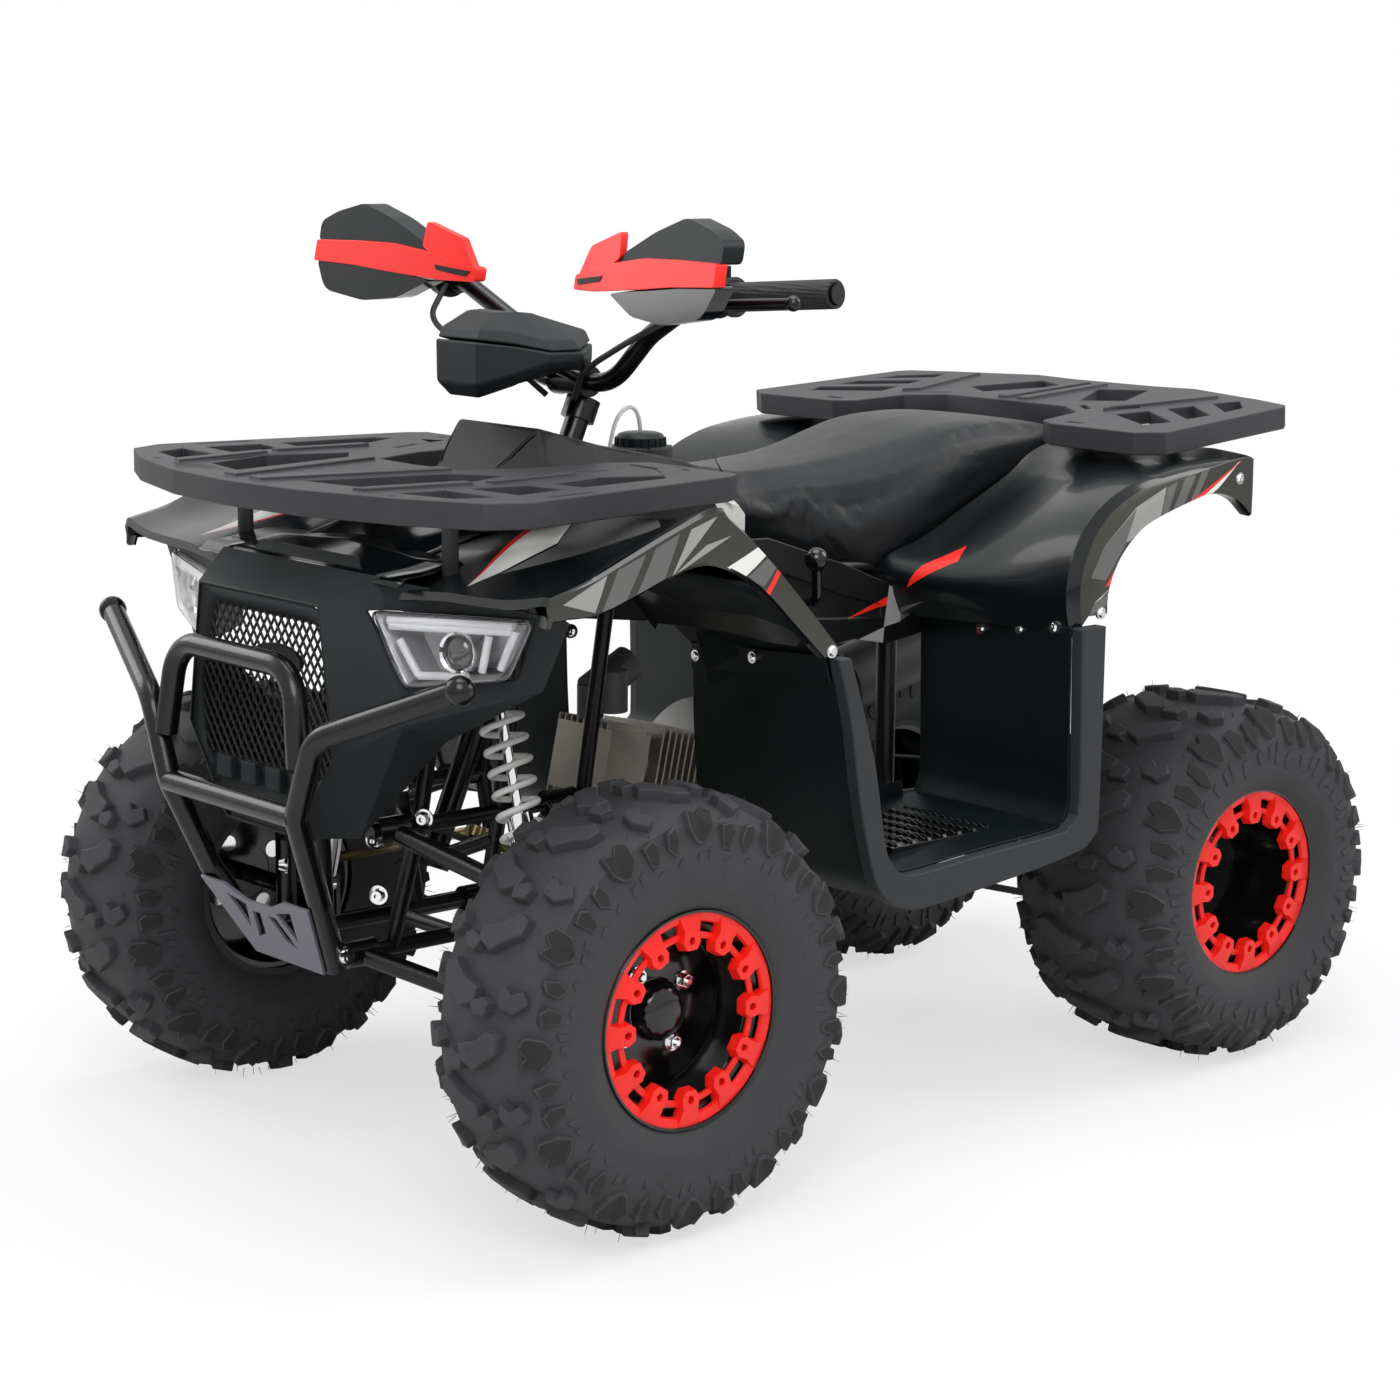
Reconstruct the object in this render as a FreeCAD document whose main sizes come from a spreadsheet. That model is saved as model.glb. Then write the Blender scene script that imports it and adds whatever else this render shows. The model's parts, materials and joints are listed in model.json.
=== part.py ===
import FreeCAD, Part
import math
import os
import Sketcher

Vector = FreeCAD.Vector

# All lengths are in millimetres and angles in degrees. The front is -Y, the rider's left
# is +X, and the origin lies on the floor under the middle of the overall length.
sizes = {
    # wheels
    "wheelBase": 969, "middleShift": 16.5, "frontWheelX": 377, "rearWheelX": 310,
    "frontTyreRadius": 241, "rearTyreRadius": 231, "frontTyreWidth": 170, "rearTyreWidth": 235,
    "lugHeight": 12, "lugRoot": 6, "lugCount": 16, "sideLug": 5, "tyreWall": 9, "rimRadius": 101.6,
    "shoulderDrop": 28, "shoulderInset": 8, "treadInset": 26, "treadCrown": 5,
    "centreLugLength": 46, "centreLugWidth": 26, "centreLugSkew": 14, "shoulderLugWidth": 34,
    "shoulderLugReach": 50, "shoulderLugDrop": 52,
    "ringRadius": 116.5, "ringBandRadius": 104, "ringHoopRadius": 86, "ringHoopWide": 7,
    "ringTipRadius": 74,
    "ringThick": 5, "ringBossHeight": 6, "ringBevel": 1.5, "ringBosses": 12, "ringBossWidth": 34,
    "ringBossNeck": 22, "ringBossTip": 16, "ringHoleCircle": 89, "ringHoleRadius": 5,
    "frontRingInset": 12.5, "rearRingInset": 20.8, "seatGap": 0.3, "rimWall": 4, "rimLipRadius": 112,
    "frontDish": 60, "rearDish": 105, "dishThick": 5, "hubRadius": 32, "frontCapRadius": 33,
    "frontCapHeight": 24, "rearCapRadius": 24, "rearCapHeight": 10,
    "wheelBoltCircle": 47, "wheelBoltRadius": 7.5, "wheelBoltHeight": 11, "wheelBolts": 4,
    "frontHubLength": 40, "frontDiscRadius": 80, "discThick": 4, "rearHubLength": 50,
    # rear axle and drive
    "axleRadius": 14, "sprocketX": 78, "sprocketRadius": 76, "sprocketThick": 6, "sprocketTeeth": 26,
    "toothHeight": 6, "rearDiscX": -78, "rearDiscRadius": 85, "carrierRadius": 40, "carrierHalf": 50,
    "runFit": 0.3, "swingHalf": 58, "swingPivotY": 190, "swingPivotZ": 300, "swingTube": 16,
    "drivenY": 60, "drivenZ": 305, "drivenRadius": 26, "chainWide": 10, "chainDeep": 9, "chainFit": 1,
    # front suspension
    "kingpinX": 300, "ballLowZ": 190, "ballHighZ": 300, "knuckleRadius": 13, "tipThick": 14, "tipGap": 0.3,
    "spindleRadius": 11,
    "armRadius": 11, "pivotRadius": 15, "lowPivotX": 62, "lowPivotZ": 258, "highPivotX": 95,
    "highPivotZ": 400, "lowPivotAhead": 147, "pivotBehind": 108, "highPivotAhead": 128, "pivotHalf": 20,
    "shockTopX": 121, "shockTopZ": 566, "shockLowX": 215, "shockLowZ": 262, "shockAhead": 6,
    "coilRadius": 23, "coilWire": 4, "coilPitch": 24, "coilTop": 40, "coilLength": 190,
    "shockBodyRadius": 15, "shockRodRadius": 6, "shockEyeRadius": 13,
    # steering
    "stemFootY": -462, "stemFootZ": 347, "stemTopY": -247, "stemTopZ": 846, "stemRadius": 14,
    "pitmanReach": 56, "pitmanHalf": 12, "pitmanThick": 8, "rodRadius": 6,
    "rodEndZ": 262, "rodEye": 11, "rodEyeHalf": 6, "studRadius": 5, "studFit": 0.2, "openFit": 2,
    "pitmanAlong": 16, "stemFootDepth": 22, "bushFoot": 26, "bushRadius": 22, "bushHalf": 18,
    "upperBushAlong": 330,
    "barRadius": 11, "barSaddleY": -262, "barSaddleZ": 868, "barRiseX": 120, "barRiseY": -250,
    "barRiseZ": 925, "gripInX": 262, "gripOutX": 408,
    "gripInY": -252, "gripInZ": 975, "gripOutY": -236, "gripOutZ": 985, "gripRadius": 16, "gripCollar": 22,
    "podHalf": 88, "podHigh": 67, "podRearY": -338, "podFrontY": -420, "podCut": 30,
    "leverAhead": 55, "leverReach": 150, "leverRadius": 6,
    "guardThick": 4, "guardY": -346, "guardDeep": 34, "guardStayX": 150, "perchInset": 24,
    "cableRadius": 3.5, "saddleWall": 7, "clampRadius": 20,
    # frame
    "railRadius": 12.5, "thinRadius": 9, "railBend": 45, "railHalf": 105, "lowRailZ": 250,
    "topRailZ": 640, "railTailX": 110, "railTailY": 640, "railTailZ": 738, "uprightTopY": -520,
    "pegBarFrontY": -55, "pegBarRearY": 95, "pegBarZ": 316, "pegBarHalf": 350,
    # bumper
    "bumperRadius": 13, "hornX": 335, "hornY": -679.5, "hornZ": 598, "bendX": 160, "bendY": -737,
    "bendZ": 528, "crossX": 124, "crossY": -737.5, "crossZ": 438, "plateTopX": 106, "plateTopY": -697,
    "plateTopZ": 337, "plateLowX": 67, "plateLowY": -650, "plateLowZ": 250, "hoopX": 113, "hoopTopZ": 596,
    "hoopY": -730, "hoopFootX": 130, "hoopFootZ": 492, "hornCapRadius": 16, "plateThick": 4,
    # shells
    "skin": 4, "fenderX": 402, "lipWide": 9, "lipHigh": 4, "hoodHalf": 116, "browY": -645, "wingX": 385,
    "wingY": -575, "panelX": 146, "noseTopX": 116, "noseTopY": -700, "noseTopZ": 660,
    "noseLowX": 141, "noseLowZ": 500, "tongueX": 70, "tongueZ": 400,
    "grilleInset": 10, "grilleMargin": 4, "grilleFrame": 9, "meshThick": 3, "meshBar": 3, "meshPitch": 18,
    "meshLean": 38,
    "cowlHalf": 70, "cowlFootZ": 655.5, "stemRoom": 12, "capRadius": 34, "capHeight": 16, "capY": -161,
    "neckTopZ": 786,
    "seatHalf": 140, "seatPanZ": 676, "footFloorZ": 334, "pegTopZ": 350, "pegTeeth": 12,
    "pegTeethPitch": 25, "footInX": 150, "footOutX": 392, "footRimX": 412, "rimBand": 34,
    # racks
    "rackTopZ": 785, "rackSkirt": 28, "rackNoseY": -738, "rackFrontX": 355, "rackPostX": 195,
    "rackPostFrontY": -586, "rackPostRadius": 9, "rackHoleX": 225, "slotRadius": 4, "ribHigh": 4,
    "rackHoleFrontY": -682, "rackHoleRearY": -285, "rackHoleRadius": 4.5, "rackWall": 4,
    "tailRackTopZ": 800, "tailRackTilt": 3.6, "tailRackFrontX": 366, "tailRackFrontY": 345,
    "tailRackEndY": 680,
    "tailPostX": 205, "tailPostY": 400, "railPostX": 30, "postReach": 140, "lampHalf": 70,
    # engine
    "caseHalf": 68.7, "headY": -300, "headZ": 432, "caseY": -20, "caseZ": 370, "caseRadius": 88,
    "barrelRadius": 38, "finHalf": 56, "finThick": 3, "finPitch": 10, "finCount": 7, "coverRadius": 66,
    "coverThick": 24, "coverRibs": 6, "coverBoss": 7, "barrelLength": 90, "headFins": 9, "headDeep": 62,
    "carbFootZ": 468.25, "carbY": -236, "carbZ": 508, "carbRadius": 22,
    "pipeRadius": 13, "silencerX": -136, "silencerY": 300, "silencerZ": 430, "silencerRadius": 44,
    "silencerLength": 260, "leverBall": 14,
}

document = FreeCAD.newDocument("quad_bike")
sheet = document.addObject("Spreadsheet::Sheet", "Sizes")
for row, (alias, number) in enumerate(sizes.items(), 1):
    sheet.set(f"A{row}", alias)
    sheet.set(f"B{row}", str(number))
    sheet.setAlias(f"B{row}", alias)
document.recompute()


def wording(value):
    return value.text if isinstance(value, Size) else repr(float(value))


class Size(float):
    # A number that keeps the sheet's own expression for it.

    def __new__(cls, number, text):
        made = super().__new__(cls, number)
        made.text = text
        return made

    def __add__(self, other):
        return Size(float(self) + float(other), f"({self.text} + {wording(other)})")

    def __radd__(self, other):
        return Size(float(other) + float(self), f"({wording(other)} + {self.text})")

    def __sub__(self, other):
        return Size(float(self) - float(other), f"({self.text} - {wording(other)})")

    def __rsub__(self, other):
        return Size(float(other) - float(self), f"({wording(other)} - {self.text})")

    def __mul__(self, other):
        return Size(float(self) * float(other), f"({self.text} * {wording(other)})")

    __rmul__ = __mul__

    def __truediv__(self, other):
        return Size(float(self) / float(other), f"({self.text} / {wording(other)})")

    def __neg__(self):
        return Size(-float(self), f"(-{self.text})")


class Sheet:
    # The sheet's cells by name.

    def __getattr__(self, alias):
        return Size(sheet.get(alias), f"Sizes.{alias}")


size = Sheet()
subParts = []


def bind(thing, field, value):
    setattr(thing, field, float(value))
    if isinstance(value, Size):
        thing.setExpression(field, value.text)


def place(thing, x, y, z):
    thing.Placement = FreeCAD.Placement(Vector(x, y, z), thing.Placement.Rotation)
    for letter, value in zip("xyz", (x, y, z)):
        if isinstance(value, Size):
            thing.setExpression(f"Placement.Base.{letter}", value.text)


def keep(thing, label):
    thing.Label = label
    subParts.append(thing)
    return thing


# PartDesign bodies

def newBody(name):
    return document.addObject("PartDesign::Body", name)


def outline(body, plane, points, lift=0):
    sketch = body.newObject("Sketcher::SketchObject", "Outline")
    datum = next(item for item in body.Origin.OriginFeatures if item.Role == plane)
    sketch.AttachmentSupport = (datum, [""])
    sketch.MapMode = "FlatFace"
    sketch.AttachmentOffset = FreeCAD.Placement(Vector(0, 0, lift), FreeCAD.Rotation())
    if isinstance(lift, Size):
        sketch.setExpression("AttachmentOffset.Base.z", lift.text)
    corners = [Vector(across, up, 0) for across, up in points]
    count = len(corners)
    sketch.addGeometry([Part.LineSegment(corners[i], corners[(i + 1) % count]) for i in range(count)],
                       False)
    sketch.addConstraint([Sketcher.Constraint("Coincident", i, 2, (i + 1) % count,
                                              1) for i in range(count)])
    for i, (across, up) in enumerate(points):
        for kind, value in (("DistanceX", across), ("DistanceY", up)):
            number = sketch.addConstraint(Sketcher.Constraint(kind, -1, 1, i, 1, float(value)))
            if isinstance(value, Size):
                sketch.setExpression(f"Constraints[{number}]", value.text)
    return sketch


def roundOutline(body, plane, circles, lift=0):
    sketch = body.newObject("Sketcher::SketchObject", "Rounds")
    datum = next(item for item in body.Origin.OriginFeatures if item.Role == plane)
    sketch.AttachmentSupport = (datum, [""])
    sketch.MapMode = "FlatFace"
    sketch.AttachmentOffset = FreeCAD.Placement(Vector(0, 0, lift), FreeCAD.Rotation())
    if isinstance(lift, Size):
        sketch.setExpression("AttachmentOffset.Base.z", lift.text)
    for i, (across, up, radius) in enumerate(circles):
        sketch.addGeometry(Part.Circle(Vector(across, up, 0), Vector(0, 0, 1), float(radius)), False)
        for kind, value in (("DistanceX", across), ("DistanceY", up)):
            number = sketch.addConstraint(Sketcher.Constraint(kind, -1, 1, i, 3, float(value)))
            if isinstance(value, Size):
                sketch.setExpression(f"Constraints[{number}]", value.text)
        number = sketch.addConstraint(Sketcher.Constraint("Radius", i, float(radius)))
        if isinstance(radius, Size):
            sketch.setExpression(f"Constraints[{number}]", radius.text)
    return sketch


def pad(body, profile, length, both=False, back=False):
    made = body.newObject("PartDesign::Pad", "Pad")
    made.Profile = profile
    bind(made, "Length", length)
    made.SideType = "Symmetric" if both else "One side"
    made.Reversed = back
    return made


def pocket(body, profile, length, both=False, back=False):
    document.recompute()
    before = body.Tip.Shape.Volume
    made = body.newObject("PartDesign::Pocket", "Pocket")
    made.Profile = profile
    bind(made, "Length", length)
    made.SideType = "Symmetric" if both else "One side"
    made.Reversed = back
    document.recompute()
    if made.Shape.Volume >= before:
        raise ValueError(f"a pocket of {body.Name} cuts nothing")
    return made


def revolve(body, profile):
    made = body.newObject("PartDesign::Revolution", "Revolution")
    made.Profile = profile
    made.ReferenceAxis = (profile, ["H_Axis"])
    made.Angle = 360
    return made


def polar(body, features, count):
    made = body.newObject("PartDesign::PolarPattern", "Around")
    made.Originals = features
    axis = next(item for item in body.Origin.OriginFeatures if item.Role == "X_Axis")
    made.Axis = (axis, [""])
    made.Angle = 360
    made.Occurrences = int(count)
    if isinstance(count, Size):
        made.setExpression("Occurrences", count.text)
    body.Tip = made
    return made


def mirrored(source, label):
    made = document.addObject("Part::Mirroring", label)
    made.Source = source
    made.Normal = Vector(1, 0, 0)
    made.Base = Vector(0, 0, 0)
    return keep(made, label)


# Shapes for tubes, lofts and shells

def feature(shape, label):
    made = document.addObject("Part::Feature", label)
    made.Shape = shape
    return keep(made, label)


def bentPath(points, bend):
    # Straight runs joined by tangent arcs.
    corners = [Vector(*point) for point in points]
    edges = []
    start = corners[0]
    for before, corner, after in zip(corners, corners[1:], corners[2:]):
        inward = (before - corner).normalize()
        onward = (after - corner).normalize()
        half = inward.getAngle(onward) / 2
        room = 0.45 * min((before - corner).Length, (after - corner).Length)
        radius = min(float(bend), room * math.tan(half))
        cut = radius / math.tan(half)
        first = corner + inward * cut
        last = corner + onward * cut
        middle = corner + (inward + onward).normalize() * (radius / math.sin(half) - radius)
        edges.append(Part.LineSegment(start, first).toShape())
        edges.append(Part.Arc(first, middle, last).toShape())
        start = last
    edges.append(Part.LineSegment(start, corners[-1]).toShape())
    return Part.Wire(edges)


def tube(points, radius, bend=0.0):
    if len(points) == 2:
        return rod(points[0], points[1], radius)
    path = bentPath(points, bend or float(size.railBend))
    start = Vector(*points[0])
    along = Vector(*points[1]) - start
    ring = Part.Wire(Part.makeCircle(float(radius), start, along))
    return path.makePipeShell([ring], True, False)


def rod(start, end, radius):
    first = Vector(*start)
    run = Vector(*end) - first
    return Part.makeCylinder(float(radius), run.Length, first, run)


def block(x, y, z):
    # A box from three (low, high) spans.
    return Part.makeBox(x[1] - x[0], y[1] - y[0], z[1] - z[0], Vector(x[0], y[0], z[0]))


def ring(points):
    corners = [Vector(*point) for point in points]
    return Part.makePolygon(corners + corners[:1])


def loft(sections, straight=True):
    return Part.makeLoft([ring(points) for points in sections], True, straight)


def facets(sections):
    # A solid of flat triangles through sections that needn't be flat themselves.
    rings = [[Vector(*point) for point in section] for section in sections]
    corners = []
    for low, high in zip(rings, rings[1:]):
        for i, corner in enumerate(low):
            j = (i + 1) % len(low)
            corners += [(corner, low[j], high[j]), (corner, high[j], high[i])]
    for cap in (rings[0], rings[-1]):
        middle = sum(cap, Vector()) / len(cap)
        corners += [(middle, corner, cap[(i + 1) % len(cap)]) for i, corner in enumerate(cap)]
    faces = [Part.Face(Part.makePolygon([a, b, c, a])) for a, b, c in corners]
    solid = Part.makeSolid(Part.makeShell(faces))
    if solid.Volume < 0:
        solid.reverse()
    return solid


def prism(points, run):
    return Part.Face(ring(points)).extrude(Vector(*run))


def flip(shape):
    return shape.mirror(Vector(0, 0, 0), Vector(1, 0, 0))


def joined(shapes):
    return shapes[0].multiFuse(shapes[1:]).removeSplitter()


frontAxleY = size.middleShift - size.wheelBase / 2
rearAxleY = size.middleShift + size.wheelBase / 2


# Wheels, modelled about their own centre with the axle along X and the outside at +X

def tyre(label, half, radius, inset):
    body = newBody(label)
    carcass = radius - size.lugHeight
    widest = half - size.sideLug
    bead = half - inset - size.ringThick - size.ringBossHeight - size.rimWall - size.seatGap
    middle = (size.rimRadius + carcass) / 2
    wall = size.tyreWall
    right = [(bead, size.rimRadius), (bead, size.ringRadius), (widest, middle),
             (widest - size.shoulderInset, carcass - size.shoulderDrop),
             (half - size.treadInset, carcass - size.treadCrown)]
    inside = [(half - size.treadInset - wall, carcass - size.treadCrown - wall), (widest - wall, middle),
              (bead - wall, size.rimRadius)]
    points = right + [(-across, up) for across, up in reversed(right)]
    points += [(-across, up) for across, up in reversed(inside)] + inside
    revolve(body, outline(body, "XZ_Plane", points))
    reach = size.centreLugLength
    wide = size.centreLugWidth / 2
    skew = size.centreLugSkew
    root = carcass - size.lugRoot
    high = size.lugHeight + size.lugRoot
    centre = pad(body, outline(body, "XY_Plane",
                               [(-wide, -wide), (reach, skew - wide), (reach, skew + wide),
                                                 (-wide, wide)], root), high)
    polar(body, [centre], size.lugCount)
    turned = pad(body, outline(body, "XY_Plane",
                               [(wide, wide), (-reach, wide - skew), (-reach, -wide - skew),
                                                 (wide, -wide)], -root), high, back=True)
    polar(body, [turned], size.lugCount)
    for side in (1, -1):
        edge = side * half
        profile = [(edge - side * size.shoulderLugReach, root),
                   (edge - side * size.shoulderLugReach, radius),
                   (edge - side * size.treadInset, radius - size.treadCrown),
                   (edge - side * size.shoulderInset, carcass - size.shoulderDrop / 2),
                   (edge, carcass - size.shoulderLugDrop),
                   (edge - side * (size.shoulderInset + size.tyreWall), carcass - size.shoulderLugDrop)]
        lug = pad(body, outline(body, "XZ_Plane", profile), size.shoulderLugWidth, both=True)
        polar(body, [lug], size.lugCount)
    return body


def rim(label, half, inset, dish, hubLength, boreRadius, discRadius, capRadius, capHeight):
    body = newBody(label)
    lip = half - inset - size.ringThick - size.ringBossHeight
    face = half - inset - dish
    back = face - size.dishThick
    hubEnd = back - hubLength
    outer = size.rimRadius - size.seatGap
    inner = outer - size.rimWall
    flange = size.rimLipRadius
    wall = size.rimWall
    bore = boreRadius + size.runFit
    cap = [(face + capHeight, 0), (face + capHeight, capRadius * 0.45),
           (face + capHeight * 0.86, capRadius * 0.78),
           (face + capHeight * 0.55, capRadius * 0.96), (face, capRadius)]
    points = cap + [(face, inner), (lip, inner), (lip, flange), (lip - wall, flange), (lip - wall, outer),
                    (wall - lip, outer), (wall - lip, flange), (-lip, flange), (-lip, inner), (back, inner),
                    (back, size.hubRadius)]
    if discRadius:
        points += [(hubEnd + size.discThick, size.hubRadius), (hubEnd + size.discThick, discRadius),
                   (hubEnd, discRadius)]
    else:
        points += [(hubEnd, size.hubRadius)]
    points += [(hubEnd, bore), (back, bore), (back, 0)]
    revolve(body, outline(body, "XZ_Plane", points))
    bolt = pad(body, roundOutline(body, "YZ_Plane", [(size.wheelBoltCircle, 0, size.wheelBoltRadius)],
                                  face),
               size.wheelBoltHeight)
    polar(body, [bolt], size.wheelBolts)
    return body


def beadRing(label, half, inset):
    # An outer band and an inner hoop, tied together by bosses that reach in past the hoop.
    body = newBody(label)
    back = half - inset - size.ringThick - size.ringBossHeight
    band = back + size.ringThick
    face = band + size.ringBossHeight
    high = size.ringRadius
    revolve(body, outline(body, "XZ_Plane",
                          [(back, size.ringBandRadius), (back, high), (band + size.ringBevel, high),
                                             (face, high - size.ringBevel), (face - size.ringBevel,
                                                                             size.ringBandRadius)]))
    wide = size.ringBossWidth / 2
    neck = size.ringBossNeck / 2
    tip = size.ringBossTip / 2
    waist = (size.ringBandRadius + size.ringHoopRadius) / 2
    shape = [(-wide, size.ringBandRadius + size.ringBevel), (wide, size.ringBandRadius + size.ringBevel),
             (neck, waist),
             (neck + size.ringBevel, size.ringHoleCircle - size.ringHoleRadius), (tip, size.ringTipRadius),
             (-tip, size.ringTipRadius), (-neck - size.ringBevel,
                                          size.ringHoleCircle - size.ringHoleRadius), (-neck, waist)]
    boss = pad(body, outline(body, "YZ_Plane", shape, back),
               size.ringThick + size.ringBossHeight - size.ringBevel)
    polar(body, [boss], size.ringBosses)
    hoop = outline(body, "XZ_Plane",
                   [(back, size.ringHoopRadius), (back, size.ringHoopRadius + size.ringHoopWide),
                                      (band, size.ringHoopRadius + size.ringHoopWide),
                                      (band, size.ringHoopRadius)])
    revolve(body, hoop)
    hole = pocket(body, roundOutline(body, "YZ_Plane", [(0, size.ringHoleCircle, size.ringHoleRadius)],
                                     face + 1),
                  size.ringBossHeight + size.ringThick / 2)
    polar(body, [hole], size.ringBosses)
    return body


def wheelSet(end, wheelX, axleY, radius, width, inset, dish, hubLength, bore, disc, capRadius, capHeight):
    half = width / 2
    for made, name in ((tyre(f"{end}_tyre", half, radius, inset), "tyre"),
                       (rim(f"{end}_rim", half, inset, dish, hubLength, bore, disc, capRadius, capHeight),
                        "rim"),
                       (beadRing(f"{end}_ring", half, inset), "bead_ring")):
        place(made, wheelX, axleY, radius)
        keep(made, f"{end}_{name}_left")
        mirrored(made, f"{end}_{name}_right")


wheelSet("front", size.frontWheelX, frontAxleY, size.frontTyreRadius, size.frontTyreWidth,
         size.frontRingInset,
         size.frontDish, size.frontHubLength, size.spindleRadius, size.frontDiscRadius, size.frontCapRadius,
         size.frontCapHeight)
wheelSet("rear", size.rearWheelX, rearAxleY, size.rearTyreRadius, size.rearTyreWidth, size.rearRingInset,
         size.rearDish, size.rearHubLength, size.axleRadius, 0, size.rearCapRadius, size.rearCapHeight)


# Rear axle with its brake disc, sprocket, chain and swing arm

def rearAxle():
    dish = size.rearWheelX + size.rearTyreWidth / 2 - size.rearRingInset - size.rearDish - size.dishThick
    body = newBody("axle")
    end = dish - size.seatGap
    shaft = size.axleRadius
    collar = size.axleRadius + 8
    disc = size.rearDiscX
    half = size.discThick / 2
    points = [(-end, 0), (end, 0), (end, shaft), (disc + half + 8, shaft), (disc + half + 8, collar),
              (disc + half, collar), (disc + half, size.rearDiscRadius), (disc - half, size.rearDiscRadius),
              (disc - half, collar), (disc - half - 8, collar), (disc - half - 8, shaft), (-end, shaft)]
    revolve(body, outline(body, "XZ_Plane", points))
    place(body, 0, rearAxleY, size.rearTyreRadius)
    keep(body, "rear_axle")


def sprocket():
    body = newBody("sprocket")
    half = size.sprocketThick / 2
    low = size.axleRadius + size.seatGap
    root = size.sprocketRadius - size.toothHeight
    revolve(body, outline(body, "XZ_Plane", [(-half, low), (half, low), (half, root), (-half, root)]))
    tooth = math.pi * size.sprocketRadius / size.sprocketTeeth / 2
    shape = outline(body, "YZ_Plane",
                    [(-tooth, root - 1), (tooth, root - 1), (tooth / 3, size.sprocketRadius),
                                       (-tooth / 3, size.sprocketRadius)])
    polar(body, [pad(body, shape, size.sprocketThick, both=True)], size.sprocketTeeth)
    place(body, size.sprocketX, rearAxleY, size.rearTyreRadius)
    keep(body, "rear_sprocket")


def beltFace(x, big, small, first, second):
    # The outline of a loop round two circles in the plane at x: centres are (y, z) pairs.
    gap = Vector(0, second[0] - first[0], second[1] - first[1])
    along = Vector(gap).normalize()
    lean = math.asin((big - small) / gap.Length)
    corners = []
    for sign in (1, -1):
        turn = FreeCAD.Rotation(Vector(1, 0, 0), sign * (90 - math.degrees(lean)))
        out = turn.multVec(along)
        corners.append((Vector(x, *first) + out * big, Vector(x, *second) + out * small))
    (bigTop, smallTop), (bigLow, smallLow) = corners
    far = Vector(x, *second) + along * small
    near = Vector(x, *first) - along * big
    edges = [Part.LineSegment(bigTop, smallTop).toShape(), Part.Arc(smallTop, far, smallLow).toShape(),
             Part.LineSegment(smallLow, bigLow).toShape(), Part.Arc(bigLow, near, bigTop).toShape()]
    return Part.Face(Part.Wire(edges))


def driveChain():
    low = size.sprocketX - size.chainWide / 2
    rear = (float(rearAxleY), float(size.rearTyreRadius))
    driven = (float(size.drivenY), float(size.drivenZ))
    big = size.sprocketRadius + size.chainFit
    small = size.drivenRadius + size.chainFit
    run = Vector(size.chainWide, 0, 0)
    outer = beltFace(low, big + size.chainDeep, small + size.chainDeep, rear, driven).extrude(run)
    inner = beltFace(low, float(big), float(small), rear, driven).extrude(run)
    feature(outer.cut(inner), "drive_chain")
    guardRun = (rear[0] - 60, driven[0] + 60)
    slope = (driven[1] - rear[1]) / (driven[0] - rear[0])
    top = [(low - 4, y, rear[1] + (y - rear[0]) * slope + big + size.chainDeep + 12) for y in guardRun]
    under = [(x, y, z - 3) for x, y, z in top]
    return prism(top + under[::-1], (size.chainWide + 8, 0, 0))


def swingArm():
    rear = (float(rearAxleY), float(size.rearTyreRadius))
    pivot = (float(size.swingPivotY), float(size.swingPivotZ))
    half = size.carrierHalf
    pieces = [rod((-half, *rear), (half, *rear), size.carrierRadius),
              rod((-size.swingHalf, *pivot), (size.swingHalf, *pivot), size.swingTube + 4)]
    for side in (1, -1):
        pieces.append(rod((side * (size.swingHalf - 16), *pivot), (side * 26, rear[0] - 10, rear[1]),
                          size.swingTube))
    pieces.append(block((-34, 34), (400, 430), (238, 271.7)))
    arm = joined(pieces)
    arm = arm.cut(rod((-half - 1, *rear), (half + 1, *rear), size.axleRadius + size.runFit))
    arm = arm.cut(rod((-size.swingHalf - 1, *pivot), (size.swingHalf + 1, *pivot),
                      size.thinRadius + size.seatGap))
    feature(arm, "swing_arm")


def rearShock():
    top = (0.0, 300.0, 617.7)
    low = (0.0, 415.0, 285.0)
    feature(damper(top, low), "rear_shock")


# Front suspension

def coil(start, along, length, radius, wire, pitch):
    helix = Part.makeHelix(pitch, length, radius)
    section = Part.Wire(Part.makeCircle(wire, Vector(radius, 0, 0), Vector(0, 1, 0)))
    shape = Part.Wire(helix).makePipeShell([section], True, True)
    shape.Placement = FreeCAD.Placement(start, FreeCAD.Rotation(Vector(0, 0, 1), along))
    return shape


def damper(top, low):
    # Eyes, body, rod, collars and the spring seats of one shock absorber.
    first = Vector(*top)
    last = Vector(*low)
    along = (last - first).normalize()
    length = (last - first).Length
    across = Vector(0, 1, 0) if abs(along.y) < 0.2 else Vector(1, 0, 0)
    eye = float(size.shockEyeRadius)
    pieces = [Part.makeCylinder(eye, 24, first - across * 12, across),
              Part.makeCylinder(eye, 24, last - across * 12, across),
              Part.makeCylinder(float(size.shockRodRadius), length, first, along),
              Part.makeCylinder(float(size.shockBodyRadius), length * 0.45, last - along * length * 0.5,
                                along)]
    seat = float(size.coilRadius + size.coilWire)
    topSeat = float(size.coilTop)
    lowSeat = topSeat + float(size.coilLength)
    for at in (topSeat - 8, lowSeat):
        pieces.append(Part.makeCylinder(seat, 8, first + along * at, along))
    return joined(pieces)


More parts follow.
